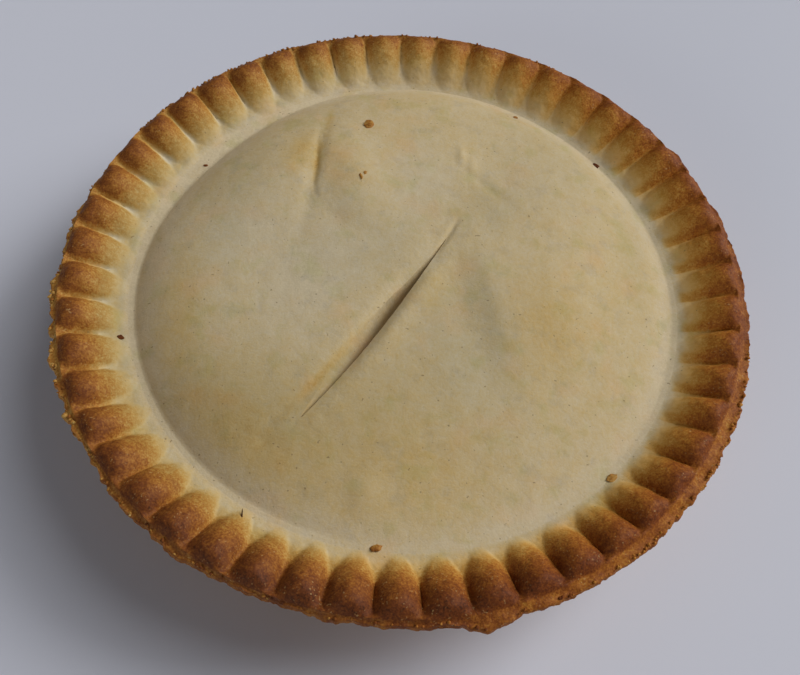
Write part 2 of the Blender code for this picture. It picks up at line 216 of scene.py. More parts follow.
# %% [markdown]
# ## The flutes
# A baker presses the lid to the case with a finger or a tool all round the rim, which leaves
# teardrop-shaped crests with narrow grooves between them.  They could be sculpted by hand, or
# made once and copied round.  A height worked out from the direction and the place along the
# flute is better here: each flute can differ a little, and the surface stays in one piece.


# %% The outline and the height of the flutes
def edge_radius(theta):
    """Radius of the ragged trimmed edge."""
    drift = EDGE_DRIFT * wobble(theta, EDGE_DRIFT_SCALE, 3)
    chips = EDGE_CHIP * wobble(theta, EDGE_CHIP_SCALE, 7)
    nicks = EDGE_NICK * wobble(theta, EDGE_NICK_SCALE, 11)
    lump = EDGE_LUMP * bell(turn_between(theta, EDGE_LUMP_AT), EDGE_LUMP_SPREAD)
    return OUTER_RADIUS + drift + chips + nicks + lump


def flute_end_radius(theta):
    """Radius at which the flutes end and the trimmed edge begins."""
    extra = LEDGE_EXTRA * bell(turn_between(theta, LEDGE_EXTRA_AT), LEDGE_EXTRA_SPREAD)
    far = bell(turn_between(theta, LEDGE_FAR_AT), LEDGE_FAR_SPREAD)
    return OUTER_RADIUS - LEDGE_WIDTH * (1 - LEDGE_FAR_SHARE * far) - extra


def ledge_height(theta):
    """Height of the ledge's outer corner above the table."""
    far = bell(turn_between(theta, LEDGE_FAR_AT), LEDGE_FAR_SPREAD)
    crumble = LEDGE_CRUMBLE * wobble(theta, LEDGE_CRUMBLE_SCALE, 17)
    return RIM_HEIGHT - LEDGE_DROP - LEDGE_FAR_DROP * far + crumble


def make_flutes():
    """One height, width and bend for each flute."""
    rng = random.Random(SEED)
    flutes = []
    for _ in range(FLUTE_COUNT):
        height = rng.uniform(-FLUTE_HEIGHT_SPREAD, FLUTE_HEIGHT_SPREAD)
        width = rng.uniform(*FLUTE_WIDTH_RANGE)
        bend = rng.uniform(-FLUTE_BEND, FLUTE_BEND)
        flutes.append((height, width, bend))
    return np.array(flutes)


FLUTES = make_flutes()


def flute_width(even, along):
    """Half width of a flute as a share of half the pitch: a teardrop in plan."""
    near = bell(turn_between(even, NEAR_FLUTES_AT), NEAR_FLUTES_SPREAD)
    full_at = FLUTE_FULL_AT + NEAR_FULL_LATER * near
    swell = np.sin(0.5 * math.pi * np.minimum(1.0, along / full_at))
    past = max(0.0, (along - CREST_PEAK) / (1 - CREST_PEAK))
    return (FLUTE_TIP_WIDTH + (1 - FLUTE_TIP_WIDTH) * swell ** FLUTE_SWELL_ROUND
            - FLUTE_END_NARROWING * past ** FLUTE_END_ROUND)


def crest_rise(along):
    """Height of a flute's crest above the valley."""
    if along < CREST_PEAK:
        return VALLEY_DEPTH * math.sin(0.5 * math.pi * along / CREST_PEAK) ** CREST_ROUND
    past = (along - CREST_PEAK) / (1 - CREST_PEAK)
    return VALLEY_DEPTH - FLUTE_END_DROP * past ** FLUTE_END_ROUND


def crept(even):
    """True directions of evenly counted ones: the presses crept along the rim a little."""
    return even + FLUTE_CREEP * np.cos(even - FLUTE_CREEP_AT)


def counted(theta):
    """Even directions of true ones, the other way round."""
    return theta - FLUTE_CREEP * np.cos(theta - FLUTE_CREEP_AT)


def flute_rise(even, along):
    """Height above the valley, and how far off the crest: 0 on it, -1 or 1 in a groove."""
    place_in_row = (even - FLUTE_TURN) / (2 * math.pi / FLUTE_COUNT)
    index = np.rint(place_in_row).astype(int)
    height, width, bend = FLUTES[index % FLUTE_COUNT].T
    swing = math.sin(math.pi * along)
    across = np.abs(place_in_row - index) * 2 + bend * swing
    floor = GROOVE_RISE * along ** GROOVE_CURVE
    crest = crest_rise(along) + height * swing
    share = np.clip(np.abs(across) / (flute_width(even, along) * width), 0.0, 1.0)
    flank = TIP_FLANK + (FULL_FLANK - TIP_FLANK) * min(1.0, along / CREST_PEAK)
    rise = floor + (crest - floor) * (1 - share * share) ** flank
    return rise, share * np.sign(place_in_row - index)


print("crest at its peak, mm:", round(crest_rise(CREST_PEAK) / MM, 2))

# %% [markdown]
# ## How brown the oven left it
# A pie is palest in the valley, which is shaded by the rim, and darkest on the outer crests.
# That is worked out here, place by place, as one number from 0 (pale dough) to 1 (nearly black)
# and kept on the mesh as an attribute called bake.  The finish turns it into colour later.  A
# shader could find the same number from positions, but here it can use the flutes' own shape.
# Three rows give the browning along a crest at the far side, the left and the near side, and
# the grooves and flanks differ from the crests by the amounts below them.  At the right the
# flanks that face away from the light also get painted shade in this number.

# %% How the browning of the rim runs
BAKE_ALONG = (0.0, 0.1, 0.2, 0.3, 0.4, 0.5, 0.6, 0.7, 0.8, 0.9, 1.0)
BAKE_FAR = (0.13, 0.11, 0.17, 0.26, 0.35, 0.42, 0.48, 0.56, 0.66, 0.73, 0.73)
BAKE_LEFT = (0.12, 0.17, 0.26, 0.33, 0.38, 0.46, 0.56, 0.64, 0.70, 0.72, 0.66)
BAKE_NEAR = (0.16, 0.26, 0.39, 0.50, 0.58, 0.65, 0.71, 0.77, 0.82, 0.87, 0.81)
# Sides of the pie: direction and spread in degrees, and an amount.
NEAR_SIDE = ((268, 54, 1.0),)
LEFT_SIDE = ((172, 50, 1.0),)
PALER_SIDES = ((90, 24, 0.09),)
PALER_ALONG = (0.12, 0.38)              # place along the flute
GROOVE_PALE = 0.07
GROOVE_SIDES = ((160, 58, 0.26), (345, 40, 0.03), (268, 50, -0.04))
GROOVE_ACROSS = (0.74, 0.97)            # place from a crest, 0, to a groove, 1
GROOVE_ALONG = (0.15, 0.45)
GROOVE_END = (0.85, 1.0)
GROOVE_END_SHARE = 0.5
FLANK_PALE = 0.03
# At the right the gaps are a little darker instead: partly brown crust, partly painted shade.
GAP_SIDES = ((268, 54, 0.12), (10, 62, -0.02))      # paler gaps between the inner halves
GAP_ACROSS = (0.6, 1.0)
GAP_ALONG = ((0.03, 0.15), (0.25, 0.55))
SHADED_FLANK_SIDES = ((8, 66, 0.17),)                      # painted shade: darker flanks that face the near side, away from the light
SHADED_FLANK_ACROSS = (0.3, 0.9)
SHADED_FLANK_ALONG = ((0.02, 0.12), (0.5, 0.85))


def side_sum(theta, sides):
    """Sum of soft humps round the rim, each a direction and spread in degrees and an amount."""
    return sum(amount * bell(turn_between(theta, math.radians(heading)), math.radians(spread))
               for heading, spread, amount in sides)


def rim_bake(theta, along, offset):
    """Browning of the flutes, more outward and less in the grooves, with painted shade on the
    right flanks that face away from the light.
    """
    share = np.abs(offset)
    far, left, near = (np.interp(along, BAKE_ALONG, row)
                       for row in (BAKE_FAR, BAKE_LEFT, BAKE_NEAR))
    to_near = side_sum(theta, NEAR_SIDE)
    to_left = np.minimum(1 - to_near, side_sum(theta, LEFT_SIDE))
    groove = ease(share, *GROOVE_ACROSS) * ease(along, *GROOVE_ALONG)
    groove = groove * (1 - GROOVE_END_SHARE * ease(along, *GROOVE_END))
    pale = groove * (GROOVE_PALE + side_sum(theta, GROOVE_SIDES)) + FLANK_PALE * share ** 2
    pale = pale + side_sum(theta, PALER_SIDES) * ease(along, *PALER_ALONG)
    gap = ease(share, *GAP_ACROSS) * band(along, *GAP_ALONG)
    pale = pale + gap * side_sum(theta, GAP_SIDES)
    # Painted shade: at the right, the flanks that face the near side, away from the light, are
    # darkened.
    flank = ease(-offset, *SHADED_FLANK_ACROSS) * band(along, *SHADED_FLANK_ALONG)
    pale = pale - flank * side_sum(theta, SHADED_FLANK_SIDES)
    return far + to_near * (near - far) + to_left * (left - far) - pale


print("browning at the near crests:",
      rim_bake(np.array([math.radians(270)]), 0.7, np.array([0.0])).round(2))

# %% [markdown]
# ## One way to make every round skin
# Lid, rim and case are all stacks of rings round the same axis.  A helper joins one ring of
# points to the next, even where their counts differ, so that the triangles stay about the same
# size near the middle and at the edge.  Blender's Bridge Edge Loops would do it by hand.


# %% Rings into a mesh
def stitch(inner, outer):
    """Triangles between two closed rings of any counts, each a list of vertex numbers."""
    faces = []
    i = 0
    j = 0
    while i < len(inner) or j < len(outer):
        a = inner[i % len(inner)]
        b = outer[j % len(outer)]
        more_inner = i < len(inner) and (i + 1) / len(inner) < (j + 1) / len(outer)
        if j >= len(outer) or more_inner:
            faces.append((a, b, inner[(i + 1) % len(inner)]))
            i += 1
        else:
            faces.append((a, b, outer[(j + 1) % len(outer)]))
            j += 1
    return faces


class Skin:
    """Points, faces and browning of one piece while it is being made."""

    def __init__(self):
        self.points = []
        self.bake = []
        self.faces = []

    def add_point(self, place, bake):
        """One point; gives its number."""
        self.points.append(tuple(place))
        self.bake.append(float(bake))
        return len(self.points) - 1

    def add_ring(self, x, y, z, bake):
        """A ring of points; gives their numbers."""
        first = len(self.points)
        self.points.extend(zip(x.tolist(), y.tolist(), z.tolist()))
        self.bake.extend(np.broadcast_to(bake, x.shape).tolist())
        return list(range(first, len(self.points)))

    def fan(self, centre, ring, upward=True):
        """Faces from a centre point to a ring."""
        for step, vertex in enumerate(ring):
            following = ring[(step + 1) % len(ring)]
            self.faces.append((centre, vertex, following) if upward
                              else (centre, following, vertex))

    def join(self, inner, outer):
        """Faces between two rings."""
        self.faces.extend(stitch(inner, outer))

    def to_mesh(self, name):
        """The finished Blender mesh, with its browning attribute."""
        mesh = bpy.data.meshes.new(name)
        mesh.from_pydata(self.points, [], self.faces)
        mesh.validate()
        keep_values(mesh, "bake", self.bake)
        return mesh


def keep_values(mesh, name, values):
    """Writes one number for every vertex of a mesh as a named attribute."""
    layer = mesh.attributes.get(name) or mesh.attributes.new(name, 'FLOAT', 'POINT')
    layer.data.foreach_set("value", np.asarray(values, dtype=np.float32))


def points_of(mesh):
    """The vertices of a mesh as an array."""
    flat = np.empty(len(mesh.vertices) * 3)
    mesh.vertices.foreach_get("co", flat)
    return flat.reshape(-1, 3)


def even_angles(count):
    """Evenly counted directions, one of them on the first flute's crest."""
    return FLUTE_TURN + 2 * math.pi * np.arange(count) / count


def place(name, mesh):
    """A new object in the scene."""
    item = bpy.data.objects.new(name, mesh)
    bpy.context.scene.collection.objects.link(item)
    return item


print("triangles between rings of 6 and 9:", len(stitch(list(range(6)), list(range(6, 15)))))

# %% [markdown]
# ## The rim
# The rim is a closed ring of pastry.  Its upper skin runs outward over the flutes and the thin
# ledge, down the broken edge and back under it to the case; a plain inner skin closes it inside
# the pie.  Forty-two rings over the flutes keep their flanks round.  At the left and the far
# side small lumps of the lower crust stick out, and at the right the ledge broke off ragged; a
# few octaves of noise along the outline make both.

# %% The rim's skin
SIDES_PER_FLUTE = 24
RIM_SIDES = FLUTE_COUNT * SIDES_PER_FLUTE
FLUTE_RINGS = 42
LEDGE_RINGS = 6
EDGE_RINGS = 7
FINE_CHIPS = ((0.45 * MM, 40.0, 31), (0.30 * MM, 95.0, 33))      # amount, scale, layer
FRINGES = ((198, 30, 1.7 * MM), (108, 36, 1.3 * MM))             # direction, spread, reach
FRINGE_LAYERS = ((1.0, 20.0, 55), (0.4, 60.0, 57))
FRINGE_LUMPS = (-0.25, 0.45)        # where that noise goes over from gap to lump
RAGGED_SIDE = ((335, 28, 1.1 * MM),)
BITES = ((1.0, 48.0, 59),)
NIBBLES = ((0.5, 130.0, 61),)
LEDGE_BAKE = 0.62
LEDGE_SIDES = ((335, 25, -0.04), (195, 40, -0.13), (265, 35, 0.08), (30, 45, 0.12),
               (100, 40, 0.05))
LEDGE_PATCHES = ((0.10, 22.0, 37), (0.08, 60.0, 38))
LEDGE_LEAST = 0.2 * MM
LEDGE_SAG = 0.35 * MM
EDGE_BULGE = 0.4 * MM
EDGE_ROUGH = 0.45 * MM
EDGE_ROUGH_SCALE = 45.0
EDGE_ROUGH_LAYER = 40               # for the first ring, and another for each one below
EDGE_ROUGH_SHIFT = 1.7
EDGE_PALER = 0.06                   # toward its lower side
RIM_UNDERSIDE = (                   # radius, height, points and browning of the closing rings
    (93.6 * MM, 30.2 * MM, RIM_SIDES, 0.5),
    (WALL_TOP_RADIUS, WALL_TOP_HEIGHT, 600, 0.45),
    (84.0 * MM, 25.6 * MM, 400, 0.3),
)
# Painted shade: the inner slopes of the flutes at the left are greyed through the flour attribute.
LEFT_SHADE_SIDE = ((188, 66, 0.9),)
LEFT_SHADE_ALONG = ((0.02, 0.12), (0.35, 0.60))


def ledge_bake(theta):
    """Browning of the trimmed edge, patchy along the rim."""
    return LEDGE_BAKE + side_sum(theta, LEDGE_SIDES) + wobbles(theta, LEDGE_PATCHES)


def flute_rings(skin, even):
    """The upper skin over the flutes, ring by ring outward."""
    theta = crept(even)
    end = flute_end_radius(theta)
    made = []
    for step in range(FLUTE_RINGS + 1):
        along = step / FLUTE_RINGS
        radius = FLUTE_START_RADIUS + along * (end - FLUTE_START_RADIUS)
        rise, offset = flute_rise(even, along)
        made.append(skin.add_ring(radius * np.cos(theta), radius * np.sin(theta),
                                  VALLEY_HEIGHT + rise, rim_bake(theta, along, offset)))
    return made


def broken_edge(theta):
    """Radius of the edge with its fine chips, its lumps of lower crust and its bites."""
    lumps = ease(wobbles(theta, FRINGE_LAYERS), *FRINGE_LUMPS)
    bites = np.minimum(0.0, wobbles(theta, BITES)) + wobbles(theta, NIBBLES)
    return (edge_radius(theta) + wobbles(theta, FINE_CHIPS) + side_sum(theta, FRINGES) * lumps
            + side_sum(theta, RAGGED_SIDE) * bites)


def ledge_ends(even):
    """Radius and height where the ledge begins at the flutes, and those of its outer corner."""
    theta = crept(even)
    start = flute_end_radius(theta)
    rise, _ = flute_rise(even, 1.0)
    scallop = LEDGE_SCALLOP * np.sin(0.5 * FLUTE_COUNT * (even - FLUTE_TURN)) ** 2
    outline = np.maximum(broken_edge(theta), start + LEDGE_LEAST)
    return start, VALLEY_HEIGHT + rise, outline, ledge_height(theta) - scallop


def edge_rings(skin, even):
    """The ledge outside the flutes, the broken edge and its underside."""
    theta = crept(even)
    start, inner_height, outline, corner = ledge_ends(even)
    bake = ledge_bake(theta)
    made = []
    for step in range(1, LEDGE_RINGS + 1):
        share_out = step / LEDGE_RINGS
        radius = start + share_out * (outline - start)
        sag = LEDGE_SAG * math.sin(math.pi * share_out)
        height = inner_height + share_out * (corner - inner_height) - sag
        made.append(skin.add_ring(radius * np.cos(theta), radius * np.sin(theta), height, bake))
    for step in range(1, EDGE_RINGS + 1):
        down = step / EDGE_RINGS
        rough = EDGE_ROUGH * wobble(theta, EDGE_ROUGH_SCALE,
                                    EDGE_ROUGH_LAYER + EDGE_ROUGH_SHIFT * step)
        radius = start + (outline - start) * (1 + (UNDERCUT - 1) * down)
        radius = radius + (EDGE_BULGE + rough) * math.sin(math.pi * down)
        made.append(skin.add_ring(radius * np.cos(theta), radius * np.sin(theta),
                                  corner - LEDGE_THICKNESS * down, bake - EDGE_PALER * down))
    return made


def case_ring(skin, radius, height, count, bake, dent=0.0):
    """A level ring on the case, slightly out of round."""
    theta = even_angles(count)
    true_radius = radius * (1 + WALL_WAVER * wobble(theta, WALL_WAVER_SCALE, 23)) + dent
    return skin.add_ring(true_radius * np.cos(theta), true_radius * np.sin(theta),
                         np.full(count, height), bake)


def rim_mesh():
    """The closed ring of the rim."""
    skin = Skin()
    even = even_angles(RIM_SIDES)
    rings = flute_rings(skin, even) + edge_rings(skin, even)
    rings.extend(case_ring(skin, *ring) for ring in RIM_UNDERSIDE)
    for inner, outer in zip(rings, rings[1:]):
        skin.join(inner, outer)
    skin.join(rings[-1], rings[0])
    return skin.to_mesh("fluted_rim")


def rim_left_shade(points):
    """Painted shade on the flutes' inner slopes at the left, kept as the flour attribute."""
    theta = np.arctan2(points[:, 1], points[:, 0])
    out = np.hypot(points[:, 0], points[:, 1]) - FLUTE_START_RADIUS
    along = out / (flute_end_radius(theta) - FLUTE_START_RADIUS)
    return side_sum(theta, LEFT_SHADE_SIDE) * band(along, *LEFT_SHADE_ALONG)


rim = place("fluted_rim", rim_mesh())
# On the rim the flour attribute holds only this painted shade.
keep_values(rim.data, "flour", rim_left_shade(points_of(rim.data)))
print("rim:", len(rim.data.vertices), "points,", len(rim.data.polygons), "faces")

# %% [markdown]
# ## The case
# The case stands in a dish while it bakes, so its wall is smooth and tapered and its underside
# flat.  It hides in the shade of the rim here, but it is seen when the pie is picked up.  A cone
# from the Add menu would do for a toy; rings of their own let the wall waver and dent a little.

# %% The case's skin
WALL_RINGS = 22
WALL_SIDES = 480
WALL_DENT = 0.25 * MM
WALL_DENT_SCALE = 9.0
WALL_DENT_LAYERS = (50, 52.2)       # at the top and at the foot of the wall
WALL_BAKES = (0.45, 0.53)
CORNER_RINGS = 5
CORNER_BAKE = 0.52
BASE_RINGS = (60.0 * MM, 45.0 * MM, 30.0 * MM, 15.0 * MM)
BASE_BAKE = 0.5
CASE_TOP = (                        # radius, height, points and browning, hidden in the pie
    (60.0 * MM, 21.0 * MM, 200, 0.3),
    (84.0 * MM, 25.0 * MM, 400, 0.3),
    (WALL_TOP_RADIUS, WALL_TOP_HEIGHT, 600, 0.45),
)


def case_mesh():
    """The closed body of the case."""
    skin = Skin()
    _, top_height, _, top_bake = CASE_TOP[0]
    top = skin.add_point((0, 0, top_height), top_bake)
    rings = [case_ring(skin, *ring) for ring in CASE_TOP]
    skin.fan(top, rings[0])
    for step in range(1, WALL_RINGS + 1):
        down = step / WALL_RINGS
        radius = WALL_TOP_RADIUS + down * (BASE_RADIUS - WALL_TOP_RADIUS)
        height = WALL_TOP_HEIGHT + down * (BASE_CORNER - WALL_TOP_HEIGHT)
        layer = np.interp(down, (0, 1), WALL_DENT_LAYERS)
        dent = WALL_DENT * wobble(even_angles(WALL_SIDES), WALL_DENT_SCALE, layer)
        bake = np.interp(down, (0, 1), WALL_BAKES)
        rings.append(case_ring(skin, radius, height, WALL_SIDES, bake,
                               dent * math.sin(math.pi * down)))
    for step in range(1, CORNER_RINGS + 1):
        turn = 0.5 * math.pi * step / CORNER_RINGS
        radius = BASE_RADIUS - BASE_CORNER * (1 - math.cos(turn))
        height = BASE_CORNER * (1 - math.sin(turn))
        rings.append(case_ring(skin, radius, height, WALL_SIDES, CORNER_BAKE))
    for radius in BASE_RINGS:
        sides = round(WALL_SIDES * radius / BASE_RADIUS)
        rings.append(case_ring(skin, radius, 0.0, sides, BASE_BAKE))
    for inner, outer in zip(rings, rings[1:]):
        skin.join(inner, outer)
    bottom = skin.add_point((0, 0, 0), BASE_BAKE)
    skin.fan(bottom, rings[-1], upward=False)
    return skin.to_mesh("pastry_case")


case = place("pastry_case", case_mesh())
print("case:", len(case.data.polygons), "faces")

# %% [markdown]
# ## The lid
# The lid is a sheet of dough that sagged over the filling and puffed in the oven, so it has
# long hollows, bulges and one fold.  A hollow or a bulge is a soft oval in the list below: its
# place, its two half sizes, its heading and its height.  The fold, and the crease in which the
# slit's upper end runs out, are shallow grooves along a line.  Cloth simulation could sag a
# sheet, but it wouldn't put the dents where the real ones are.

# %% Dents, bulges and folds of the lid
LID_FORMS = (       # centre x, y, half long, half wide in mm, heading in degrees, height in mm
    (16.5, -12.5, 24.0, 7.0, 110, -1.5),
    (43.0, -8.0, 19.0, 12.0, 100, 1.2),
    (27.0, 36.0, 15.0, 9.0, 120, -0.8),
    (-19.0, 31.0, 17.0, 9.0, 110, 1.7),
    (-40.0, 33.0, 13.0, 9.0, 100, 1.0),
    (-31.0, 36.0, 20.0, 2.4, 88, -0.7),
    (-20.0, 12.0, 12.0, 4.0, 150, -0.4),
    (14.0, 42.0, 4.5, 1.3, 93, 0.5),
    (17.5, 37.5, 4.5, 1.6, 95, 0.35),
    (22.0, 31.0, 9.0, 1.8, 140, -0.4),
    (-6.0, -67.0, 5.0, 4.0, 60, 0.8),
    (-33.2, -55.4, 4.5, 2.2, 60, -0.5),
    (-38.0, -12.0, 22.0, 15.0, 60, -0.9),
    (30.0, -48.0, 20.0, 12.0, 30, 0.7),
)
FOLD_LINE = ((-32.0, 48.0), (-31.0, 40.0), (-30.4, 33.5), (-30.5, 27.0), (-29.6, 22.1),
             (-26.5, 18.0))
FOLD_DEPTH = 0.32 * MM
FOLD_HALF_WIDTH = 0.9 * MM
FOLD_FADE = (-0.2, 1.1)
CREASE_DEPTH = 0.45 * MM            # the slit's upper end closed up to a soft crease
CREASE_HALF_WIDTH = 0.9 * MM
CREASE_BEGINS = (-0.07, 0.03)       # places along the slit
CREASE_ENDS = (0.10, 0.20)
FAR_AWAY = 1.0


def oval_sum(x, y, forms):
    """Sum of soft oval humps and dents, in metres, from a list in millimetres and degrees."""
    total = np.zeros(len(x))
    for centre_x, centre_y, half_long, half_wide, heading, height in forms:
        turn = math.radians(heading)
        dx = x - centre_x * MM
        dy = y - centre_y * MM
        along = (dx * math.cos(turn) + dy * math.sin(turn)) / (half_long * MM)
        across = (dy * math.cos(turn) - dx * math.sin(turn)) / (half_wide * MM)
        total += height * MM * np.exp(-along ** 2 - across ** 2)
    return total


def path_distance(x, y, line):
    """Distance to a line of points in millimetres, and the place along it from 0 to 1."""
    best = np.full(len(x), FAR_AWAY)
    where = np.zeros(len(x))
    for number, (start, end) in enumerate(zip(line, line[1:])):
        sx, sy = start[0] * MM, start[1] * MM
        rx, ry = end[0] * MM - sx, end[1] * MM - sy
        along = np.clip(((x - sx) * rx + (y - sy) * ry) / (rx * rx + ry * ry), 0.0, 1.0)
        distance = np.hypot(x - sx - along * rx, y - sy - along * ry)
        nearer = distance < best
        best = np.where(nearer, distance, best)
        where = np.where(nearer, (number + along) / (len(line) - 1), where)
    return best, where


def slit_offset(x, y):
    """Place along the slit, and signed distance from it: positive to its right."""
    rx, ry = SLIT_END[0] - SLIT_START[0], SLIT_END[1] - SLIT_START[1]
    length = math.hypot(rx, ry)
    dx, dy = x - SLIT_START[0], y - SLIT_START[1]
    along = (dx * rx + dy * ry) / length ** 2
    return along, (dy * rx - dx * ry) / length - SLIT_BOW * 4 * along * (1 - along)


def beside_slit(x, y, humps):
    """Sum of soft strips beside the slit, such as its raised right lip and sunken left bank."""
    along, off = slit_offset(x, y)
    return sum(height * bell(off - distance, width) * bell(along - place_along, reach)
               for height, distance, width, place_along, reach in humps)


def slit_crease(x, y):
    """The soft crease in which the slit's upper end runs out."""
    along, off = slit_offset(x, y)
    fade = band(along, CREASE_BEGINS, CREASE_ENDS)
    return -CREASE_DEPTH * bell(off, CREASE_HALF_WIDTH) * fade


def lid_foot(theta):
    """Radius at which the lid meets the valley."""
    out = FOOT_OUT * bell(turn_between(theta, FOOT_OUT_AT), FOOT_OUT_SPREAD)
    back = FOOT_IN * bell(turn_between(theta, FOOT_IN_AT), FOOT_IN_SPREAD)
    return LID_FOOT_RADIUS + out - back


def lid_rise(x, y):
    """Height of the lid above the valley."""
    theta = np.arctan2(y, x)
    share = np.clip(np.hypot(x, y) / lid_foot(theta), 0.0, 1.0)
    firm = (LID_SHOULDER_SHARE * (1 - share ** LID_SHOULDER_POWER)
            + (1 - LID_SHOULDER_SHARE) * (1 - share ** 2))
    gentle = (1 - share ** LID_GENTLE_POWER) ** LID_GENTLE_FOOT
    near = bell(turn_between(theta, LID_GENTLE_AT), LID_GENTLE_SPREAD)
    flat = np.column_stack((x, y, np.zeros(len(x))))
    swell = LID_SWELL * grain(flat, LID_SWELL_SIZE, 5.1)
    distance, along = path_distance(x, y, FOLD_LINE)
    fade = np.sin(math.pi * ease(along, *FOLD_FADE))
    fold = -FOLD_DEPTH * bell(distance, FOLD_HALF_WIDTH) * fade
    forms = oval_sum(x, y, LID_FORMS) + beside_slit(x, y, (RIGHT_LIP, LEFT_BANK))
    forms = forms + swell + fold + slit_crease(x, y)
    return LID_RISE * (firm + near * (gentle - firm)) + forms * (1 - share ** LID_FADE_POWER)


print("middle of the lid above the table, mm:",
      ((VALLEY_HEIGHT + lid_rise(np.zeros(1), np.zeros(1))) / MM).round(2))

# %% [markdown]
# ## How the lid took colour
# The lid is mostly pale, greyer where flour stayed on flat places and warmer where it puffed
# up nearer the heat.  Some grey patches are painted shade on slopes and walls that face away
# from the light.  The warm and grey patches are ovals again, this time of browning and of flour
# and shade, and so are the toasted strip beside the slit and the painted shade on its slanting
# face.
# Painting them by hand would need a picture; ovals stay a short list that a cook can read.

# %% Warm patches, flour and painted shade of the lid
LID_TOAST = (               # centre x, y, half long, half wide in mm, heading, added browning
    (41, -16, 15, 11, 100, 0.065),
    (62, 2, 30, 14, 90, 0.02),
    (8, -9, 8, 4, 60, 0.06),
    (-36, 39, 8, 6, 90, 0.09),
    (-23, 36, 9, 6, 100, 0.04),
    (-39, -55, 17, 8, 145, 0.06),
    (-22, -52, 40, 22, 160, 0.055),
    (8, -60, 22, 12, 10, 0.025),
    (-62, -22, 24, 6, 100, 0.05),
    (-73, -2, 30, 5, 92, -0.06),
    (-30.5, 34, 8, 1.0, 92, 0.14),
    (-29.2, 55, 6, 1.2, 88, 0.10),
    (-27, -9, 27, 17, 70, -0.07),
    (-48, 8, 18, 14, 90, -0.04),
    (3, 31, 15, 10, 90, -0.05),
)
LID_FLOUR_AND_SHADE = (               # the same for greyer places, flour and painted shade, with its share
    (14, -20, 22, 9, 112, 1.0),
    (24, -12, 24, 4, 107, 0.6),
    (0, -42, 26, 16, 10, 0.5),
    (-8, 2, 16, 8, 60, 0.5),
    (-38, -48, 26, 15, 145, 0.75),
    (24, 24, 13, 9, 100, 0.9),
    (44, 52, 32, 13, 135, 0.65),
    (69, 12, 26, 6, 90, 0.5),
    (-22, 10, 24, 12, 60, 0.4),
    (-54, 12, 26, 10, 95, 0.7),
)
# Strips beside the slit, like its lips: amount, distance to its right, half width, place, reach.
SLIT_EDGE_TOAST = (0.10, -3.7 * MM, 1.3 * MM, 0.80, 0.20)
# Painted shade on the slit's slanting left face, greyed through the flour attribute.
SLIT_FACE_SHADE = (0.95, -2.0 * MM, 1.2 * MM, 0.76, 0.22)
LID_BAKE = 0.15
VALLEY_PALER = 0.02
FOOT_FADE = (0.90, 1.0)             # from the lid's browning to the valley's


def lid_bake(x, y):
    """Browning of the lid at each place."""
    theta = np.arctan2(y, x)
    reach = np.hypot(x, y) / lid_foot(theta)
    warm = oval_sum(x, y, LID_TOAST) / MM + beside_slit(x, y, (SLIT_EDGE_TOAST,))
    valley = rim_bake(theta, 0.0, np.ones(len(x))) - VALLEY_PALER
    return LID_BAKE + warm + (valley - LID_BAKE - warm) * ease(reach, *FOOT_FADE)


def lid_flour_and_shade(x, y):
    """Flour that stayed on the lid, and painted shade on its slopes that face away from the light.
    """
    return oval_sum(x, y, LID_FLOUR_AND_SHADE) / MM + beside_slit(x, y, (SLIT_FACE_SHADE,))


print("browning at the middle:", lid_bake(np.zeros(1), np.zeros(1)).round(3))

# %% [markdown]
# ## The lid's mesh
# Rings less than a millimetre apart are fine enough for the swells.  The slit and the fold need
# more, so the triangles near them are split twice and every height is worked out afresh.  The lid
# is closed below as a slab, because a Boolean cut needs a solid.

# %% The lid's slab
LID_STEP = 0.85 * MM
LEAST_SIDES = 8
VALLEY_RINGS = 4
SLAB_FLOOR = 21.0 * MM
SLIT_REACH = 7.0 * MM
SLIT_MARGIN = 0.06                  # beyond both ends, as a share of its length
FOLD_REACH = 4.0 * MM
FINE_WRINKLES = ((5.0, 0.10), (2.2, 0.05), (1.1, 0.025))     # size and height in mm
WRINKLE_LAYERS = (60.0, 63.1, 66.2)
WRINKLES_STOP = (0.95, 1.0)         # in shares of the radius where the flutes start


def lid_plan():
    """The lid's upper skin while it is still flat."""
    skin = Skin()
    centre = skin.add_point((0.0, 0.0, 0.0), 0.0)
    steps = round(LID_FOOT_RADIUS / LID_STEP)
    rings = []
    for step in range(1, steps + 1):
        share = step / steps
        sides = max(LEAST_SIDES, round(2 * math.pi * share * LID_FOOT_RADIUS / LID_STEP))
        theta = crept(even_angles(sides))
        radius = share * lid_foot(theta)
        rings.append(skin.add_ring(radius * np.cos(theta), radius * np.sin(theta),
                                   np.zeros(len(theta)), 0.0))
    theta = crept(even_angles(RIM_SIDES))
    foot = lid_foot(theta)
    for step in range(1, VALLEY_RINGS + 1):
        radius = foot + (FLUTE_START_RADIUS - foot) * step / VALLEY_RINGS
        rings.append(skin.add_ring(radius * np.cos(theta), radius * np.sin(theta),
                                   np.zeros(len(theta)), 0.0))
    skin.fan(centre, rings[0])
    for inner, outer in zip(rings, rings[1:]):
        skin.join(inner, outer)
    return skin


def refine(mesh, wanted):
    """Splits the triangles whose middle the test picks."""
    work = bmesh.new()
    work.from_mesh(mesh)
    middles = np.array([face.calc_center_median()[:2] for face in work.faces])
    picked = wanted(middles[:, 0], middles[:, 1])
    numbers = {edge.index for face, take in zip(work.faces, picked) if take
               for edge in face.edges}
    edges = [edge for edge in work.edges if edge.index in numbers]
    bmesh.ops.subdivide_edges(work, edges=edges, cuts=1, use_grid_fill=True)
    bmesh.ops.triangulate(work, faces=[face for face in work.faces if len(face.verts) > 3])
    work.to_mesh(mesh)
    work.free()


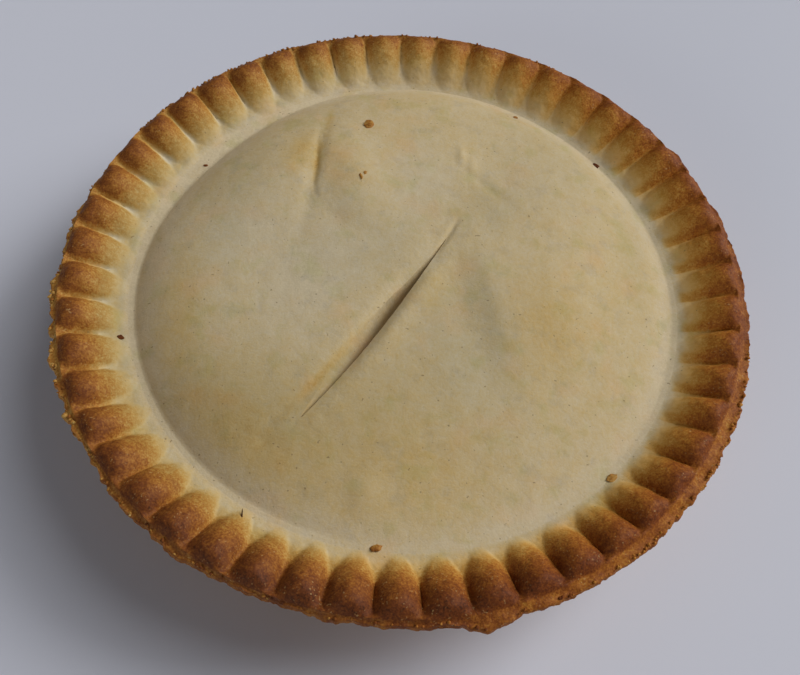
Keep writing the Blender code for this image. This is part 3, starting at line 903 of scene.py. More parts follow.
def near_slit_or_fold(x, y):
    """True close to the slit and to the fold."""
    along, off = slit_offset(x, y)
    by_slit = (along > -SLIT_MARGIN) & (along < 1 + SLIT_MARGIN) & (np.abs(off) < SLIT_REACH)
    return by_slit | (path_distance(x, y, FOLD_LINE)[0] < FOLD_REACH)


def set_points(mesh, points):
    """Moves every vertex of a mesh."""
    mesh.vertices.foreach_set("co", np.asarray(points, dtype=np.float32).ravel())
    mesh.update()


def lid_surface(points):
    """Heights of the lid's upper skin, with its fine wrinkles."""
    x, y = points[:, 0], points[:, 1]
    flat = np.column_stack((x, y, np.zeros(len(x))))
    height = VALLEY_HEIGHT + lid_rise(x, y)
    fade = 1 - ease(np.hypot(x, y) / FLUTE_START_RADIUS, *WRINKLES_STOP)
    for layer, (size, tall) in zip(WRINKLE_LAYERS, FINE_WRINKLES):
        height += tall * MM * grain(flat, size * MM, layer) * fade
    return height


def lid_slab():
    """The closed lid before the slit is cut."""
    plan = lid_plan()
    border = np.arange(len(plan.points) - RIM_SIDES, len(plan.points))
    mesh = plan.to_mesh("lid_plan")
    refine(mesh, near_slit_or_fold)
    refine(mesh, near_slit_or_fold)
    upper = points_of(mesh)
    upper[:, 2] = lid_surface(upper)
    below = upper[border]
    below[:, 2] = SLAB_FLOOR
    lower = len(upper) + np.arange(RIM_SIDES)
    wall = np.column_stack((lower, np.roll(lower, -1), np.roll(border, -1), border))
    faces = [face.vertices[:] for face in mesh.polygons] + wall.tolist() + [lower[::-1].tolist()]
    slab = bpy.data.meshes.new("lid_crust")
    slab.from_pydata(np.vstack((upper, below)).tolist(), [], faces)
    slab.validate()
    return slab


lid_mesh = lid_slab()
print("lid:", len(lid_mesh.vertices), "points,", len(lid_mesh.polygons), "faces")

# %% [markdown]
# ## The slit
# A knife went in at a slant, so the left side of the cut shows its slanting face and the right
# lip hangs over it.  A blade-shaped cutter with a fine, uneven section is taken away from the
# slab with a Boolean.  Pushing vertices down instead would smear the triangles.

# %% The blade that cuts the slit
BLADE_STATIONS = 120
BLADE_FROM = 0.07                   # place along the slit where the cut begins
BLADE_TIP_LENGTH = 0.08
BLADE_TIP_WIDTH = 0.15              # shares of the full width and depth at the tip
BLADE_TIP_DEPTH = 0.4
BLADE_DEEP_FROM = 0.25
SLANTED_CUT = ((-2.6, 0.6), (0.1, 0.6), (0.7, -1.0), (0.4, -1.0))
GAPING_CUT = ((-2.0, 0.6), (0.1, 0.6), (0.7, -1.0), (-0.8, -1.0))
GAPE_AT = 0.40
GAPE_SPREAD = 0.20
BLADE_STEPS = (2, 14, 8, 18)        # points from each corner to the next
BLADE_ROUGH = 0.10 * MM
BLADE_ROUGH_LAYERS = ((1.0, 0.45), (0.6, 1.6))      # share, and times per millimetre
BLADE_ROUGH_TIPS = 0.4
DOWN_STRETCH = 3.0                  # so that the roughness also changes down the cut
NUDGE = 0.01                        # along the slit, to find its heading


def blade_section(gape):
    """Points round the blade's section: across in half widths, up in depths."""
    corners = [tuple(a + gape * (b - a) for a, b in zip(*pair))
               for pair in zip(SLANTED_CUT, GAPING_CUT)]
    section = []
    for number, (corner, steps) in enumerate(zip(corners, BLADE_STEPS)):
        following = corners[(number + 1) % len(corners)]
        for step in range(steps):
            share = step / steps
            section.append((corner[0] + share * (following[0] - corner[0]),
                            corner[1] + share * (following[1] - corner[1])))
    return section


def slit_point(along):
    """A point on the slit's line."""
    rx, ry = SLIT_END[0] - SLIT_START[0], SLIT_END[1] - SLIT_START[1]
    length = math.hypot(rx, ry)
    bow = SLIT_BOW * 4 * along * (1 - along)
    return Vector((SLIT_START[0] + rx * along - ry / length * bow,
                   SLIT_START[1] + ry * along + rx / length * bow))


def slit_size(along):
    """Half width and depth of the cut at a place along it, and how far it opened there."""
    spread = SLIT_LOWER_SPREAD if along > SLIT_WIDEST else SLIT_WIDTH_SPREAD
    taper = max(0.0, (along - SLIT_TAPER_AT) / (1 - SLIT_TAPER_AT))
    opened = float(bell(along - SLIT_WIDEST, spread)) * (1 - taper * taper)
    sunk = float(bell(along - SLIT_DEEPEST, SLIT_DEPTH_SPREAD))
    wide = float(ease(along, BLADE_FROM, BLADE_FROM + BLADE_TIP_LENGTH))
    deep = float(ease(along, BLADE_FROM, BLADE_DEEP_FROM))
    half = 0.5 * (SLIT_TIP_WIDTH + (SLIT_WIDTH - SLIT_TIP_WIDTH) * opened)
    depth = SLIT_TIP_DEPTH + (SLIT_DEPTH - SLIT_TIP_DEPTH) * sunk
    return (half * (BLADE_TIP_WIDTH + (1 - BLADE_TIP_WIDTH) * wide),
            depth * (BLADE_TIP_DEPTH + (1 - BLADE_TIP_DEPTH) * deep), opened)


def blade_station(along):
    """Points round the blade at a place along the slit."""
    here = slit_point(along)
    ahead = slit_point(along + NUDGE) - slit_point(along - NUDGE)
    side = Vector((-ahead.y, ahead.x)).normalized()
    half, depth, opened = slit_size(along)
    top = float(VALLEY_HEIGHT + lid_rise(np.array([here.x]), np.array([here.y]))[0])
    points = []
    for across, up in blade_section(float(bell(along - GAPE_AT, GAPE_SPREAD))):
        spot = Vector((here.x / MM, here.y / MM, DOWN_STRETCH * up))
        rough = BLADE_ROUGH * sum(share * noise.noise(spot * often)
                                  for share, often in BLADE_ROUGH_LAYERS)
        corner = here + side * (across * half + rough * (BLADE_ROUGH_TIPS + opened))
        points.append((corner.x, corner.y, top + up * depth))
    return points


def blade_mesh():
    """The closed cutter."""
    count = sum(BLADE_STEPS)
    points = []
    for station in range(BLADE_STATIONS):
        share = station / (BLADE_STATIONS - 1)
        points.extend(blade_station(BLADE_FROM + (1 - BLADE_FROM) * share))
    faces = [tuple(range(count))]
    for station in range(BLADE_STATIONS - 1):
        for number in range(count):
            other = (number + 1) % count
            near, far = station * count, (station + 1) * count
            faces.append((near + number, far + number, far + other, near + other))
    last = (BLADE_STATIONS - 1) * count
    faces.append(tuple(range(last + count - 1, last - 1, -1)))
    mesh = bpy.data.meshes.new("slit_blade")
    mesh.from_pydata(points, [], faces)
    mesh.validate()
    work = bmesh.new()
    work.from_mesh(mesh)
    bmesh.ops.recalc_face_normals(work, faces=work.faces)
    work.to_mesh(mesh)
    work.free()
    return mesh


def cut_slit(mesh, blade):
    """The lid with the slit taken out of it; the cut faces get the second material."""
    lid = place("lid_crust", mesh)
    cutter = place("slit_blade", blade)
    for number in (0, 1):
        stand_in = bpy.data.materials.new(f"slot_{number}")
        mesh.materials.append(stand_in)
        blade.materials.append(stand_in)
    blade.polygons.foreach_set("material_index", [1] * len(blade.polygons))
    cut = lid.modifiers.new("slit", 'BOOLEAN')
    cut.operation = 'DIFFERENCE'
    cut.solver = 'EXACT'
    cut.object = cutter
    graph = bpy.context.evaluated_depsgraph_get()
    done = bpy.data.meshes.new_from_object(lid.evaluated_get(graph), depsgraph=graph)
    lid.modifiers.clear()
    lid.data = done
    bpy.data.objects.remove(cutter)
    return lid


lid = cut_slit(lid_mesh, blade_mesh())
lid_points = points_of(lid.data)
keep_values(lid.data, "bake", lid_bake(lid_points[:, 0], lid_points[:, 1]))
# The flour attribute holds flour and painted shade.
keep_values(lid.data, "flour", lid_flour_and_shade(lid_points[:, 0], lid_points[:, 1]))
keep_values(lid.data, "depth", (lid_surface(lid_points) - lid_points[:, 2]) / MM)
cut_faces = sum(1 for face in lid.data.polygons if face.material_index == 1)
print("lid after the cut:", len(lid.data.polygons), "faces,", cut_faces, "of them in the slit")

# %% [markdown]
# ## Crust texture you can feel
# Baked crust is grainy.  Grains of half a millimetre and more are moved in the mesh itself, out
# along each vertex's normal, so that they catch the light at a grazing angle; what is finer is
# left to the bump in the finish.

# %% Roughen the rim and the case
RIM_GRAIN = ((3.4, 0.22, 80.0), (1.4, 0.13, 83.7), (0.7, 0.07, 87.4))    # size, height, layer
CASE_GRAIN = ((6.0, 0.12, 95.0), (2.0, 0.07, 98.7))
VALLEY_FADES = (3 * MM, 4 * MM)     # width over which the grain begins, outer and inner flutes
INNER_FLUTES = (90 * MM, VALLEY_HEIGHT - 0.5 * MM)      # inside this radius, above this height
JOINT_FADE = (WALL_TOP_HEIGHT - 1 * MM, WALL_TOP_HEIGHT + 1 * MM)
WALL_GRAIN = ((0.3 * MM, 3 * MM), (WALL_TOP_HEIGHT - 2 * MM, WALL_TOP_HEIGHT))
SMOOTH_BASE = 70 * MM


def roughen(mesh, grains, share):
    """Moves the vertices out and in along their normals, each by its share of the grain."""
    points = points_of(mesh)
    normals = np.empty(len(points) * 3)
    mesh.vertex_normals.foreach_get("vector", normals)
    move = sum(tall * MM * grain(points, size * MM, layer) for size, tall, layer in grains)
    set_points(mesh, points + normals.reshape(-1, 3) * (move * share)[:, None])


def rim_share(points):
    """How much grain each point of the rim gets: none where it meets the lid and the case."""
    out = np.hypot(points[:, 0], points[:, 1]) - FLUTE_START_RADIUS
    outer = ease(out, 0.0, VALLEY_FADES[0]) * ease(points[:, 2], *JOINT_FADE)
    on_inner = (out + FLUTE_START_RADIUS < INNER_FLUTES[0]) & (points[:, 2] > INNER_FLUTES[1])
    return np.maximum(outer, on_inner * ease(out, 0.0, VALLEY_FADES[1]))


def case_share(points):
    """The same for the case: none at its top, at its foot and on its underside."""
    on_wall = np.hypot(points[:, 0], points[:, 1]) >= SMOOTH_BASE
    return on_wall * band(points[:, 2], *WALL_GRAIN)


roughen(rim.data, RIM_GRAIN, rim_share(points_of(rim.data)))
roughen(case.data, CASE_GRAIN, case_share(points_of(case.data)))
print("deepest grain of the rim, mm:", sum(tall for _, tall, _ in RIM_GRAIN))

# %% [markdown]
# ## Crumbs on the trimmed edge
# Where the knife trimmed the dough, the edge broke into crumbs that baked on; at the far side
# they also lie on the ledge above it.  Each crumb is a small ball of eighty triangles pushed out
# of shape, and all of them are one mesh, so they cost one object.  A particle system would
# scatter them too, but it isn't real geometry.

# %% Crumbs along the edge
CRUMB_ZONES = (     # from and to in degrees, count, smallest and largest mm, reach mm, browning
    (62, 150, 330, 0.4, 1.3, 0.8, 0.44, 0.68),
    (150, 172, 50, 0.4, 1.0, 0.3, 0.44, 0.66),
    (172, 232, 420, 0.4, 1.5, 0.9, 0.32, 0.66),
    (232, 300, 260, 0.4, 1.0, 0.4, 0.45, 0.84),
    (300, 350, 220, 0.4, 1.2, 0.5, 0.44, 0.62),
)
LEDGE_CRUMB_ZONES = (       # the same without the reach: these sit on top of the ledge
    (56, 100, 70, 0.4, 1.2, 0.50, 0.66),
    (100, 154, 200, 0.5, 1.7, 0.50, 0.66),
)
USUAL_SIZE = 0.25           # most crumbs are this far from the smallest to the largest
LEDGE_USUAL_SIZE = 0.30
CRUMB_DOWN = (-0.05, 0.9)   # down the broken edge, as shares of its height
CRUMB_IN_OUT = (-0.8, 0.5)  # in and out, as shares of the reach
CRUMB_SUNK = 0.35           # into the edge, as a share of the crumb's size
CRUMB_LEAN = 0.15           # further in toward the foot of the edge
ON_LEDGE = (-0.1, 1.0)      # across the ledge
CRUMB_FLATNESS = 0.85
CRUMB_STRETCH = (0.7, 1.3)
CRUMB_HEIGHT = (0.6, 1.1)
CRUMB_LUMPS = ((0.45, 1.3), (0.25, 3.1))        # amount, and times per crumb
CRUMB_TILT = 0.5
NOISE_ROOM = 90.0           # how far apart in the noise two crumbs may look


def ball_template():
    """Points and faces of a unit ball of eighty triangles."""
    work = bmesh.new()
    bmesh.ops.create_icosphere(work, subdivisions=2, radius=1.0)
    points = np.array([vertex.co[:] for vertex in work.verts])
    faces = np.array([[vertex.index for vertex in face.verts] for face in work.faces])
    work.free()
    return points, faces


BALL_POINTS, BALL_FACES = ball_template()


def crumb(rng, size, flatness=1.0):
    """One lumpy crumb about its own middle."""
    shape = np.array([rng.uniform(*CRUMB_STRETCH), rng.uniform(*CRUMB_STRETCH),
                      rng.uniform(*CRUMB_HEIGHT) * flatness])
    shift = Vector([rng.uniform(0, NOISE_ROOM) for _ in range(3)])
    lump = np.array([sum(amount * noise.noise(Vector(point) * often + shift)
                         for amount, often in CRUMB_LUMPS) for point in BALL_POINTS])
    spin = Matrix.Rotation(rng.uniform(0, 2 * math.pi), 3, 'Z')
    tilt = Matrix.Rotation(rng.uniform(-CRUMB_TILT, CRUMB_TILT), 3, 'X')
    grown = BALL_POINTS * shape * (1 + lump)[:, None] * (0.5 * size)
    return grown @ np.array(spin @ tilt).T


class Scatter:
    """Many small crumbs gathered into one mesh."""

    def __init__(self):
        self.points = []
        self.faces = []
        self.bake = []
        self.count = 0

    def add(self, points, middle, bake):
        """One crumb at its place."""
        self.faces.append(BALL_FACES + self.count)
        self.points.append(points + np.array(middle))
        self.bake.extend([bake] * len(points))
        self.count += len(points)

    def to_mesh(self, name):
        """All crumbs as one mesh."""
        mesh = bpy.data.meshes.new(name)
        mesh.from_pydata(np.vstack(self.points).tolist(), [], np.vstack(self.faces).tolist())
        mesh.validate()
        keep_values(mesh, "bake", self.bake)
        return mesh


def pick_size(rng, small, large, usual):
    """A crumb's size: small ones are more common than large ones."""
    return rng.triangular(small, large, small + usual * (large - small)) * MM


def stick_on(heap, rng, size, theta, radius, height, browning):
    """Adds one crumb at a direction, radius and height."""
    middle = (radius * math.cos(theta), radius * math.sin(theta), height)
    heap.add(crumb(rng, size, CRUMB_FLATNESS), middle, rng.uniform(*browning))


def stick_on_edge(heap, rng):
    """Crumbs on the broken edge."""
    for low, high, count, small, large, reach, *browning in CRUMB_ZONES:
        for _ in range(count):
            theta = math.radians(rng.uniform(low, high))
            size = pick_size(rng, small, large, USUAL_SIZE)
            down = rng.uniform(*CRUMB_DOWN) * LEDGE_THICKNESS
            inward = CRUMB_SUNK * size - rng.uniform(*CRUMB_IN_OUT) * reach * MM
            radius = float(broken_edge(np.array([theta]))[0]) - inward - CRUMB_LEAN * down
            height = float(ledge_height(np.array([theta]))[0]) - down
            stick_on(heap, rng, size, theta, radius, height, browning)


def stick_on_ledge(heap, rng):
    """Crumbs on top of the ledge."""
    for low, high, count, small, large, *browning in LEDGE_CRUMB_ZONES:
        for _ in range(count):
            theta = math.radians(rng.uniform(low, high))
            size = pick_size(rng, small, large, LEDGE_USUAL_SIZE)
            ends = ledge_ends(counted(np.array([theta])))
            start, top, outline, corner = (float(value[0]) for value in ends)
            share = rng.uniform(*ON_LEDGE)
            radius = start + share * (outline - start)
            stick_on(heap, rng, size, theta, radius, top + share * (corner - top), browning)


def edge_crumbs():
    """All the crumbs of the trimmed edge."""
    rng = random.Random(SEED + 1)
    heap = Scatter()
    stick_on_edge(heap, rng)
    stick_on_ledge(heap, rng)
    return heap


crumbs = place("edge_crumbs", edge_crumbs().to_mesh("edge_crumbs"))
print("edge crumbs:", len(crumbs.data.polygons), "faces")

# %% [markdown]
# ## Flakes on the lid
# A few browned flakes fell on the lid and stuck.  They are thin, so each is the same lumpy ball
# pressed flat, and it is sunk a little into the surface that carries it.

# %% Flakes stuck on the lid and in the valley
FLAKES = (          # x, y, length, width, thickness in mm, heading, browning
    (-16.2, 53.0, 3.5, 3.1, 1.0, 70, 0.52),
    (-16.3, 28.7, 2.2, 1.0, 0.6, 115, 0.52),
    (-15.2, 30.4, 1.3, 0.9, 0.4, 60, 0.44),
    (31.9, 67.7, 1.8, 1.0, 0.8, 20, 0.60),
    (59.1, 52.2, 2.4, 1.6, 0.9, 340, 0.84),
    (-67.7, 38.8, 1.7, 0.8, 0.5, 10, 0.78),
    (-79.2, -26.9, 2.1, 1.3, 0.6, 350, 0.86),
    (-1.8, -80.2, 4.4, 2.4, 0.9, 12, 0.50),
    (58.7, -56.4, 3.2, 2.4, 0.9, 30, 0.46),
    (-36.2, -75.5, 0.4, 3.4, 0.3, 5, 0.97),
)
FLAKE_RAISED = 0.22         # its middle above what carries it, as a share of its thickness


def ground_under(x, y):
    """Height of the lid, the valley or a flute at one place."""
    radius = math.hypot(x, y)
    if radius < FLUTE_START_RADIUS:
        return float(lid_surface(np.array([[x, y, 0.0]]))[0])
    theta = np.array([math.atan2(y, x)])
    end = flute_end_radius(theta)[0]
    along = (radius - FLUTE_START_RADIUS) / (end - FLUTE_START_RADIUS)
    return VALLEY_HEIGHT + float(flute_rise(counted(theta), along)[0][0])


def flakes_heap():
    """The flakes, resting on whatever is under them."""
    rng = random.Random(SEED + 2)
    heap = Scatter()
    for x, y, long, wide, thick, heading, bake in FLAKES:
        shape = crumb(rng, 1.0) * np.array([long, wide, thick]) * MM
        turn = np.array(Matrix.Rotation(math.radians(heading), 3, 'Z'))
        height = ground_under(x * MM, y * MM) + FLAKE_RAISED * thick * MM
        heap.add(shape @ turn.T, (x * MM, y * MM, height), bake)
    return heap


flakes = place("lid_flakes", flakes_heap().to_mesh("lid_flakes"))
print("flakes:", len(flakes.data.polygons), "faces")

# %% [markdown]
# ## Writing a finish as sums
# Node trees grow wide when every small sum is a box.  This class wraps a node's output, so that
# plus, minus and times make the boxes: numbers use Math nodes, and colours or places use Vector
# Math, because a Math node would turn a colour grey.  Any other node comes from one method.


# %% A socket that can be added and multiplied
BUMP_STRENGTH = 0.5
BUMP_HEIGHT = 0.3 * MM


class Wire:
    """An output socket in a finish, used like a number, a colour or a place."""

    def __init__(self, finish, socket):
        self.finish = finish
        self.socket = socket

    def combine(self, operation, first, second):
        """A Math or Vector Math node on two values."""
        several = any(isinstance(item, tuple) or (isinstance(item, Wire)
                      and item.socket.type != 'VALUE') for item in (first, second))
        if not several:
            return self.finish.node('ShaderNodeMath', {'operation': operation},
                                    {0: first, 1: second})
        pair = [(item,) * 3 if isinstance(item, (int, float)) else item
                for item in (first, second)]
        return self.finish.node('ShaderNodeVectorMath', {'operation': operation},
                                {0: pair[0], 1: pair[1]})

    def __add__(self, other):
        return self.combine('ADD', self, other)

    def __radd__(self, other):
        return self.combine('ADD', other, self)

    def __sub__(self, other):
        return self.combine('SUBTRACT', self, other)

    def __rsub__(self, other):
        return self.combine('SUBTRACT', other, self)

    def __mul__(self, other):
        return self.combine('MULTIPLY', self, other)

    def __rmul__(self, other):
        return self.combine('MULTIPLY', other, self)


class Finish:
    """A material and the nodes that make it."""

    def __init__(self, name, roughness=0.75, gloss=0.15):
        self.material = bpy.data.materials.new(name)
        self.material.use_nodes = True
        self.tree = self.material.node_tree
        self.shader = self.tree.nodes["Principled BSDF"]
        self.shader.inputs["Roughness"].default_value = roughness
        self.shader.inputs["Specular IOR Level"].default_value = gloss

    def node(self, kind, settings=None, sockets=None, out=0):
        """Any node: its settings first, then its sockets' values or links."""
        made = self.tree.nodes.new(kind)
        for key, value in (settings or {}).items():
            if key == 'stops':
                self.set_stops(made.color_ramp, value)
            else:
                setattr(made, key, value)
        for key, value in (sockets or {}).items():
            if isinstance(value, Wire):
                self.tree.links.new(value.socket, made.inputs[key])
            else:
                made.inputs[key].default_value = value
        return Wire(self, made.outputs[out])

    @staticmethod
    def set_stops(ramp, stops):
        """Puts a list of (position, colour) on a colour ramp."""
        while len(ramp.elements) > 1:
            ramp.elements.remove(ramp.elements[-1])
        for number, (position, colour) in enumerate(stops):
            stop = ramp.elements[0] if number == 0 else ramp.elements.new(position)
            stop.position = position
            stop.color = (*colour, 1.0)

    def noise(self, size, detail=2.0, rough=0.5, shift=0.0):
        """Noise from 0 to 1 whose patches are about the given size across, in metres."""
        spot = self.spot() + (shift, shift, shift)
        return self.node('ShaderNodeTexNoise', {}, {'Vector': spot, 'Scale': 1.0 / size,
                                                    'Detail': detail, 'Roughness': rough}, 'Fac')

    def spot(self):
        """The place on the object, in metres."""
        return self.node('ShaderNodeTexCoord', out='Object')

    def step(self, value, low, high):
        """0 below low, 1 above high, smooth between; low may be above high."""
        return self.node('ShaderNodeMapRange', {'interpolation_type': 'SMOOTHSTEP'},
                         {'Value': value, 'From Min': low, 'From Max': high}, 0)

    def patches(self, size, detail, rough, shift, low, high):
        """Soft-edged spots: 0 where the noise is below low, 1 where it is above high."""
        return self.step(self.noise(size * MM, detail, rough, shift), low, high)

    def attribute(self, name):
        """A number that the mesh carries at each vertex."""
        return self.node('ShaderNodeAttribute', {'attribute_name': name}, out='Fac')

    def bump(self, relief):
        """Fine relief that only the light sees."""
        return self.node('ShaderNodeBump', {}, {'Strength': BUMP_STRENGTH,
                                                'Distance': BUMP_HEIGHT, 'Height': relief},
                         'Normal')

    def mix(self, first, second, share):
        """One colour going over to another."""
        ends = [(*item, 1.0) if isinstance(item, tuple) and len(item) == 3 else item
                for item in (first, second)]
        return self.node('ShaderNodeMix', {'data_type': 'RGBA'},
                         {0: share, 6: ends[0], 7: ends[1]}, 2)

    def feed(self, name, wire):
        """Links a wire to one of the shader's sockets."""
        self.tree.links.new(wire.socket, self.shader.inputs[name])


print("numbers and colours can be added, taken away and multiplied:",
      all(hasattr(Wire, sign) for sign in ("__add__", "__sub__", "__mul__")))

# %% [markdown]
# ## The pastry finish
# One finish serves lid, rim and case, because they are one dough: the browning attribute, made
# ragged with noise, runs through a ramp from floury cream to nearly black.  Pale places get
# faint olive, peach and grey patches and tiny dark specks, and brown places get light grains and
# dark pores.  The flour attribute greys what it covers, flour and painted shade alike, and the
# right side of the rim gets a warmer tint as painted window light.  A painted picture could show
# all this from one side, but these nodes hold from every side and close up.

# %% Colours of the bake, from pale to burnt
BAKE_STOPS = (
    (0.00, (0.790, 0.660, 0.440)),
    (0.08, (0.690, 0.570, 0.370)),
    (0.16, (0.660, 0.510, 0.275)),
    (0.24, (0.640, 0.450, 0.185)),
    (0.34, (0.545, 0.325, 0.090)),
    (0.46, (0.455, 0.218, 0.042)),
    (0.58, (0.340, 0.128, 0.022)),
    (0.70, (0.225, 0.071, 0.013)),
    (0.82, (0.150, 0.041, 0.010)),
    (1.00, (0.050, 0.015, 0.005)),
)
BROWNED = (0.22, 0.5)               # browning at which pale pastry goes over to brown
CLOUD = (22 * MM, 3.0)              # noise: size, detail, roughness
MOTTLE = (4.2 * MM, 3.0, 0.55)
FLECK = (1.1 * MM, 2.0, 0.6)
FINE = (0.5 * MM, 1.0)
MIDDLE = 0.5                        # what the noises swing about
CLOUD_SWING = 0.07                  # how far each shifts the browning, pale and then brown
MOTTLE_SWING = (0.12, 0.30)
FINE_SWING = (0.09, 0.38)

# Spots: size in mm, detail, roughness, shift, and the noise from which to which they show.
PALE_TINTS = (
    ((9, 3.0, 0.6, 0.31, 0.52, 0.72), (0.88, 0.91, 0.76)),      # olive
    ((13, 2.0, 0.5, 0.77, 0.54, 0.74), (1.05, 0.96, 0.90)),     # peach
    ((6, 3.0, 0.6, 0.57, 0.54, 0.70), (0.90, 0.92, 0.98)),      # grey
)
PALE_TINT_SHARE = 0.8
SPECKS = (0.8, 0.0, 0.5, 0.13, 0.79, 0.87)
SPECK_COLOUR = (0.20, 0.13, 0.06)
SPECK_SHARE = 0.6
GRAINS = (0.6, 0.0, 0.5, 0.53, 0.68, 0.80)
GRAIN_CLUSTERS = (3.5, 2.0, 0.5, 0.43, 0.40, 0.70)
GRAIN_COLOUR = (0.62, 0.40, 0.16)
PORES = (0.7, 1.0, 0.5, 0.91, 0.66, 0.78)
PORE_SHADE = 0.45
GRAIN_SHARE = 0.5
FLOUR_AND_SHADE_TINT = (0.80, 0.83, 0.86)
PAINTED_LIGHT_TINT = (1.16, 1.02, 0.80)
PAINTED_LIGHT_SIDE = (-40 * MM, 70 * MM)     # from left to right
PAINTED_LIGHT_REACH = (FLUTE_START_RADIUS + 0.5 * MM, FLUTE_START_RADIUS + 3.0 * MM)
ROUGHNESS = 0.74
BROWN_SMOOTHER = 0.12
FLECKS_ROUGHER = 0.15
FLECK_RELIEF = 0.6
MOTTLE_RELIEF = 0.5
FINE_RELIEF = (0.25, 0.75)          # pale and then brown


def between(limits, share):
    """One amount going over to another, as from pale pastry to brown."""
    low, high = limits
    return low + share * (high - low)


def crust_tints(finish, colour, pale):
    """Faint patches, flour with painted shade, and painted window light on the right side of the
    rim.
    """
    for spots, tint in PALE_TINTS:
        share = finish.patches(*spots) * pale * PALE_TINT_SHARE
        colour = finish.mix(colour, colour * tint, share)
    # The flour attribute greys flour and painted shade alike.
    colour = finish.mix(colour, colour * FLOUR_AND_SHADE_TINT, finish.attribute('flour'))
    # Painted window light: the right side of the rim gets a warmer, brighter tint.
    side = finish.node('ShaderNodeSeparateXYZ', {}, {0: finish.spot()}, 'X')
    reach = finish.node('ShaderNodeVectorMath', {'operation': 'LENGTH'},
                        {0: finish.spot() * (1.0, 1.0, 0.0)}, 'Value')
    warm = finish.step(side, *PAINTED_LIGHT_SIDE) * finish.step(reach, *PAINTED_LIGHT_REACH)
    return finish.mix(colour, colour * PAINTED_LIGHT_TINT, warm)


def crust_grains(finish, colour, pale, browned):
    """Dark specks on pale pastry, light grains and dark pores on brown."""
    colour = finish.mix(colour, SPECK_COLOUR, finish.patches(*SPECKS) * pale * SPECK_SHARE)
    grains = finish.patches(*GRAINS) * finish.patches(*GRAIN_CLUSTERS)
    colour = finish.mix(colour, GRAIN_COLOUR, grains * browned * GRAIN_SHARE)
    pores = finish.patches(*PORES) * browned * GRAIN_SHARE
    return finish.mix(colour, colour * PORE_SHADE, pores)


def pastry_finish():
    """Baked pastry whose colour follows the bake attribute."""
    finish = Finish("baked_pastry")
    bake = finish.attribute('bake')
    cloud, mottle, fleck, fine = (finish.noise(*kind) for kind in (CLOUD, MOTTLE, FLECK, FINE))
    browned = finish.step(bake, *BROWNED)
    pale = 1 - browned
    level = bake + (cloud - MIDDLE) * CLOUD_SWING
    for grains, limits in ((mottle, MOTTLE_SWING), (fleck, MOTTLE_SWING), (fine, FINE_SWING)):
        level = level + (grains - MIDDLE) * between(limits, browned)
    colour = finish.node('ShaderNodeValToRGB', {'stops': BAKE_STOPS}, {'Fac': level}, 'Color')
    colour = crust_tints(finish, colour, pale)
    finish.feed('Base Color', crust_grains(finish, colour, pale, browned))
    rough = ROUGHNESS - browned * BROWN_SMOOTHER + (fleck - MIDDLE) * FLECKS_ROUGHER
    finish.feed('Roughness', rough)
    relief = fleck * FLECK_RELIEF + fine * between(FINE_RELIEF, browned) + mottle * MOTTLE_RELIEF
    finish.feed('Normal', finish.bump(relief))
    return finish.material


pastry = pastry_finish()
print("finish:", pastry.name, len(pastry.node_tree.nodes), "nodes")

# %% [markdown]
# ## The cut faces
# Inside the slit the dough steamed rather than baked.  It is greyish tan, and darker and browner
# where the cut is deep, partly from the filling's stain and partly as painted shade.  The depth
# attribute, written when the slit was cut, says how deep each place lies under the lid, so the
# painted shade needs no lamp or shadow to be right.

# %% Finish of the cut faces
CUT_PALE = (0.27, 0.22, 0.135)
CUT_DARK_AND_SHADE = (0.075, 0.038, 0.013)
# Painted shade: the cut darkens with depth.
CUT_SHADE_DEPTHS = (0.7, 3.0)            # depth in mm
CUT_STREAKS = (1.6 * MM, 3.0, 0.6)
CUT_UNEVEN = 0.8
CUT_TONES = (0.7, 1.3)              # shade of the darkest and of the lightest streaks


def cut_finish():
    """The steamed dough inside the slit, darker with depth as painted shade."""
    finish = Finish("cut_pastry", roughness=0.7)
    streak = finish.noise(*CUT_STREAKS)
    depth = finish.attribute('depth') + (streak - MIDDLE) * CUT_UNEVEN
    colour = finish.mix(CUT_PALE, CUT_DARK_AND_SHADE, finish.step(depth, *CUT_SHADE_DEPTHS))
    finish.feed('Base Color', colour * between(CUT_TONES, streak))
    finish.feed('Normal', finish.bump(streak))
    return finish.material


cut_pastry = cut_finish()
print("finish:", cut_pastry.name, len(cut_pastry.node_tree.nodes), "nodes")

# %% [markdown]
# ## Give each piece its finish and shading
# Smooth shading hides the triangles.  Only the slit keeps a hard corner, found by angle.  The
# flakes stay flat-shaded, because flaky pastry breaks with sharp little faces.

# %% Put the finishes on
SHARP_ANGLE = math.radians(80)
for item, materials in ((lid, (pastry, cut_pastry)), (rim, (pastry,)), (case, (pastry,)),
                        (crumbs, (pastry,)), (flakes, (pastry,))):
    item.data.materials.clear()
    for material in materials:
        item.data.materials.append(material)
    if item is not flakes:
        item.data.shade_smooth()
for item in (lid, rim, case):
    item.data.set_sharp_from_angle(angle=SHARP_ANGLE)
print("pieces:", [item.name for item in (lid, rim, case, crumbs, flakes)])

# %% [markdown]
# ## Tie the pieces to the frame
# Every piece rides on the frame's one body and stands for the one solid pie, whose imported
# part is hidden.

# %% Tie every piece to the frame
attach(lid, "root")
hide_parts("pie")
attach(rim, "root")
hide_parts("pie")
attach(case, "root")
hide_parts("pie")
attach(crumbs, "root")
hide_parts("pie")
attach(flakes, "root")
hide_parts("pie")
print("tied to the frame:", [item.name for item in (lid, rim, case, crumbs, flakes)])

# %% [markdown]
# ## The table
# The pie stands on a plain pale table, so that only its own shadow and colour speak.  One flat
# square is enough, and two close greys keep it from looking like paper.

# %% The table
TABLE_HALF = 2.0
TABLE_COLOURS = ((0.67, 0.69, 0.78), (0.71, 0.72, 0.80))
TABLE_CLOUDS = (0.35, 2.0)          # size in metres, detail


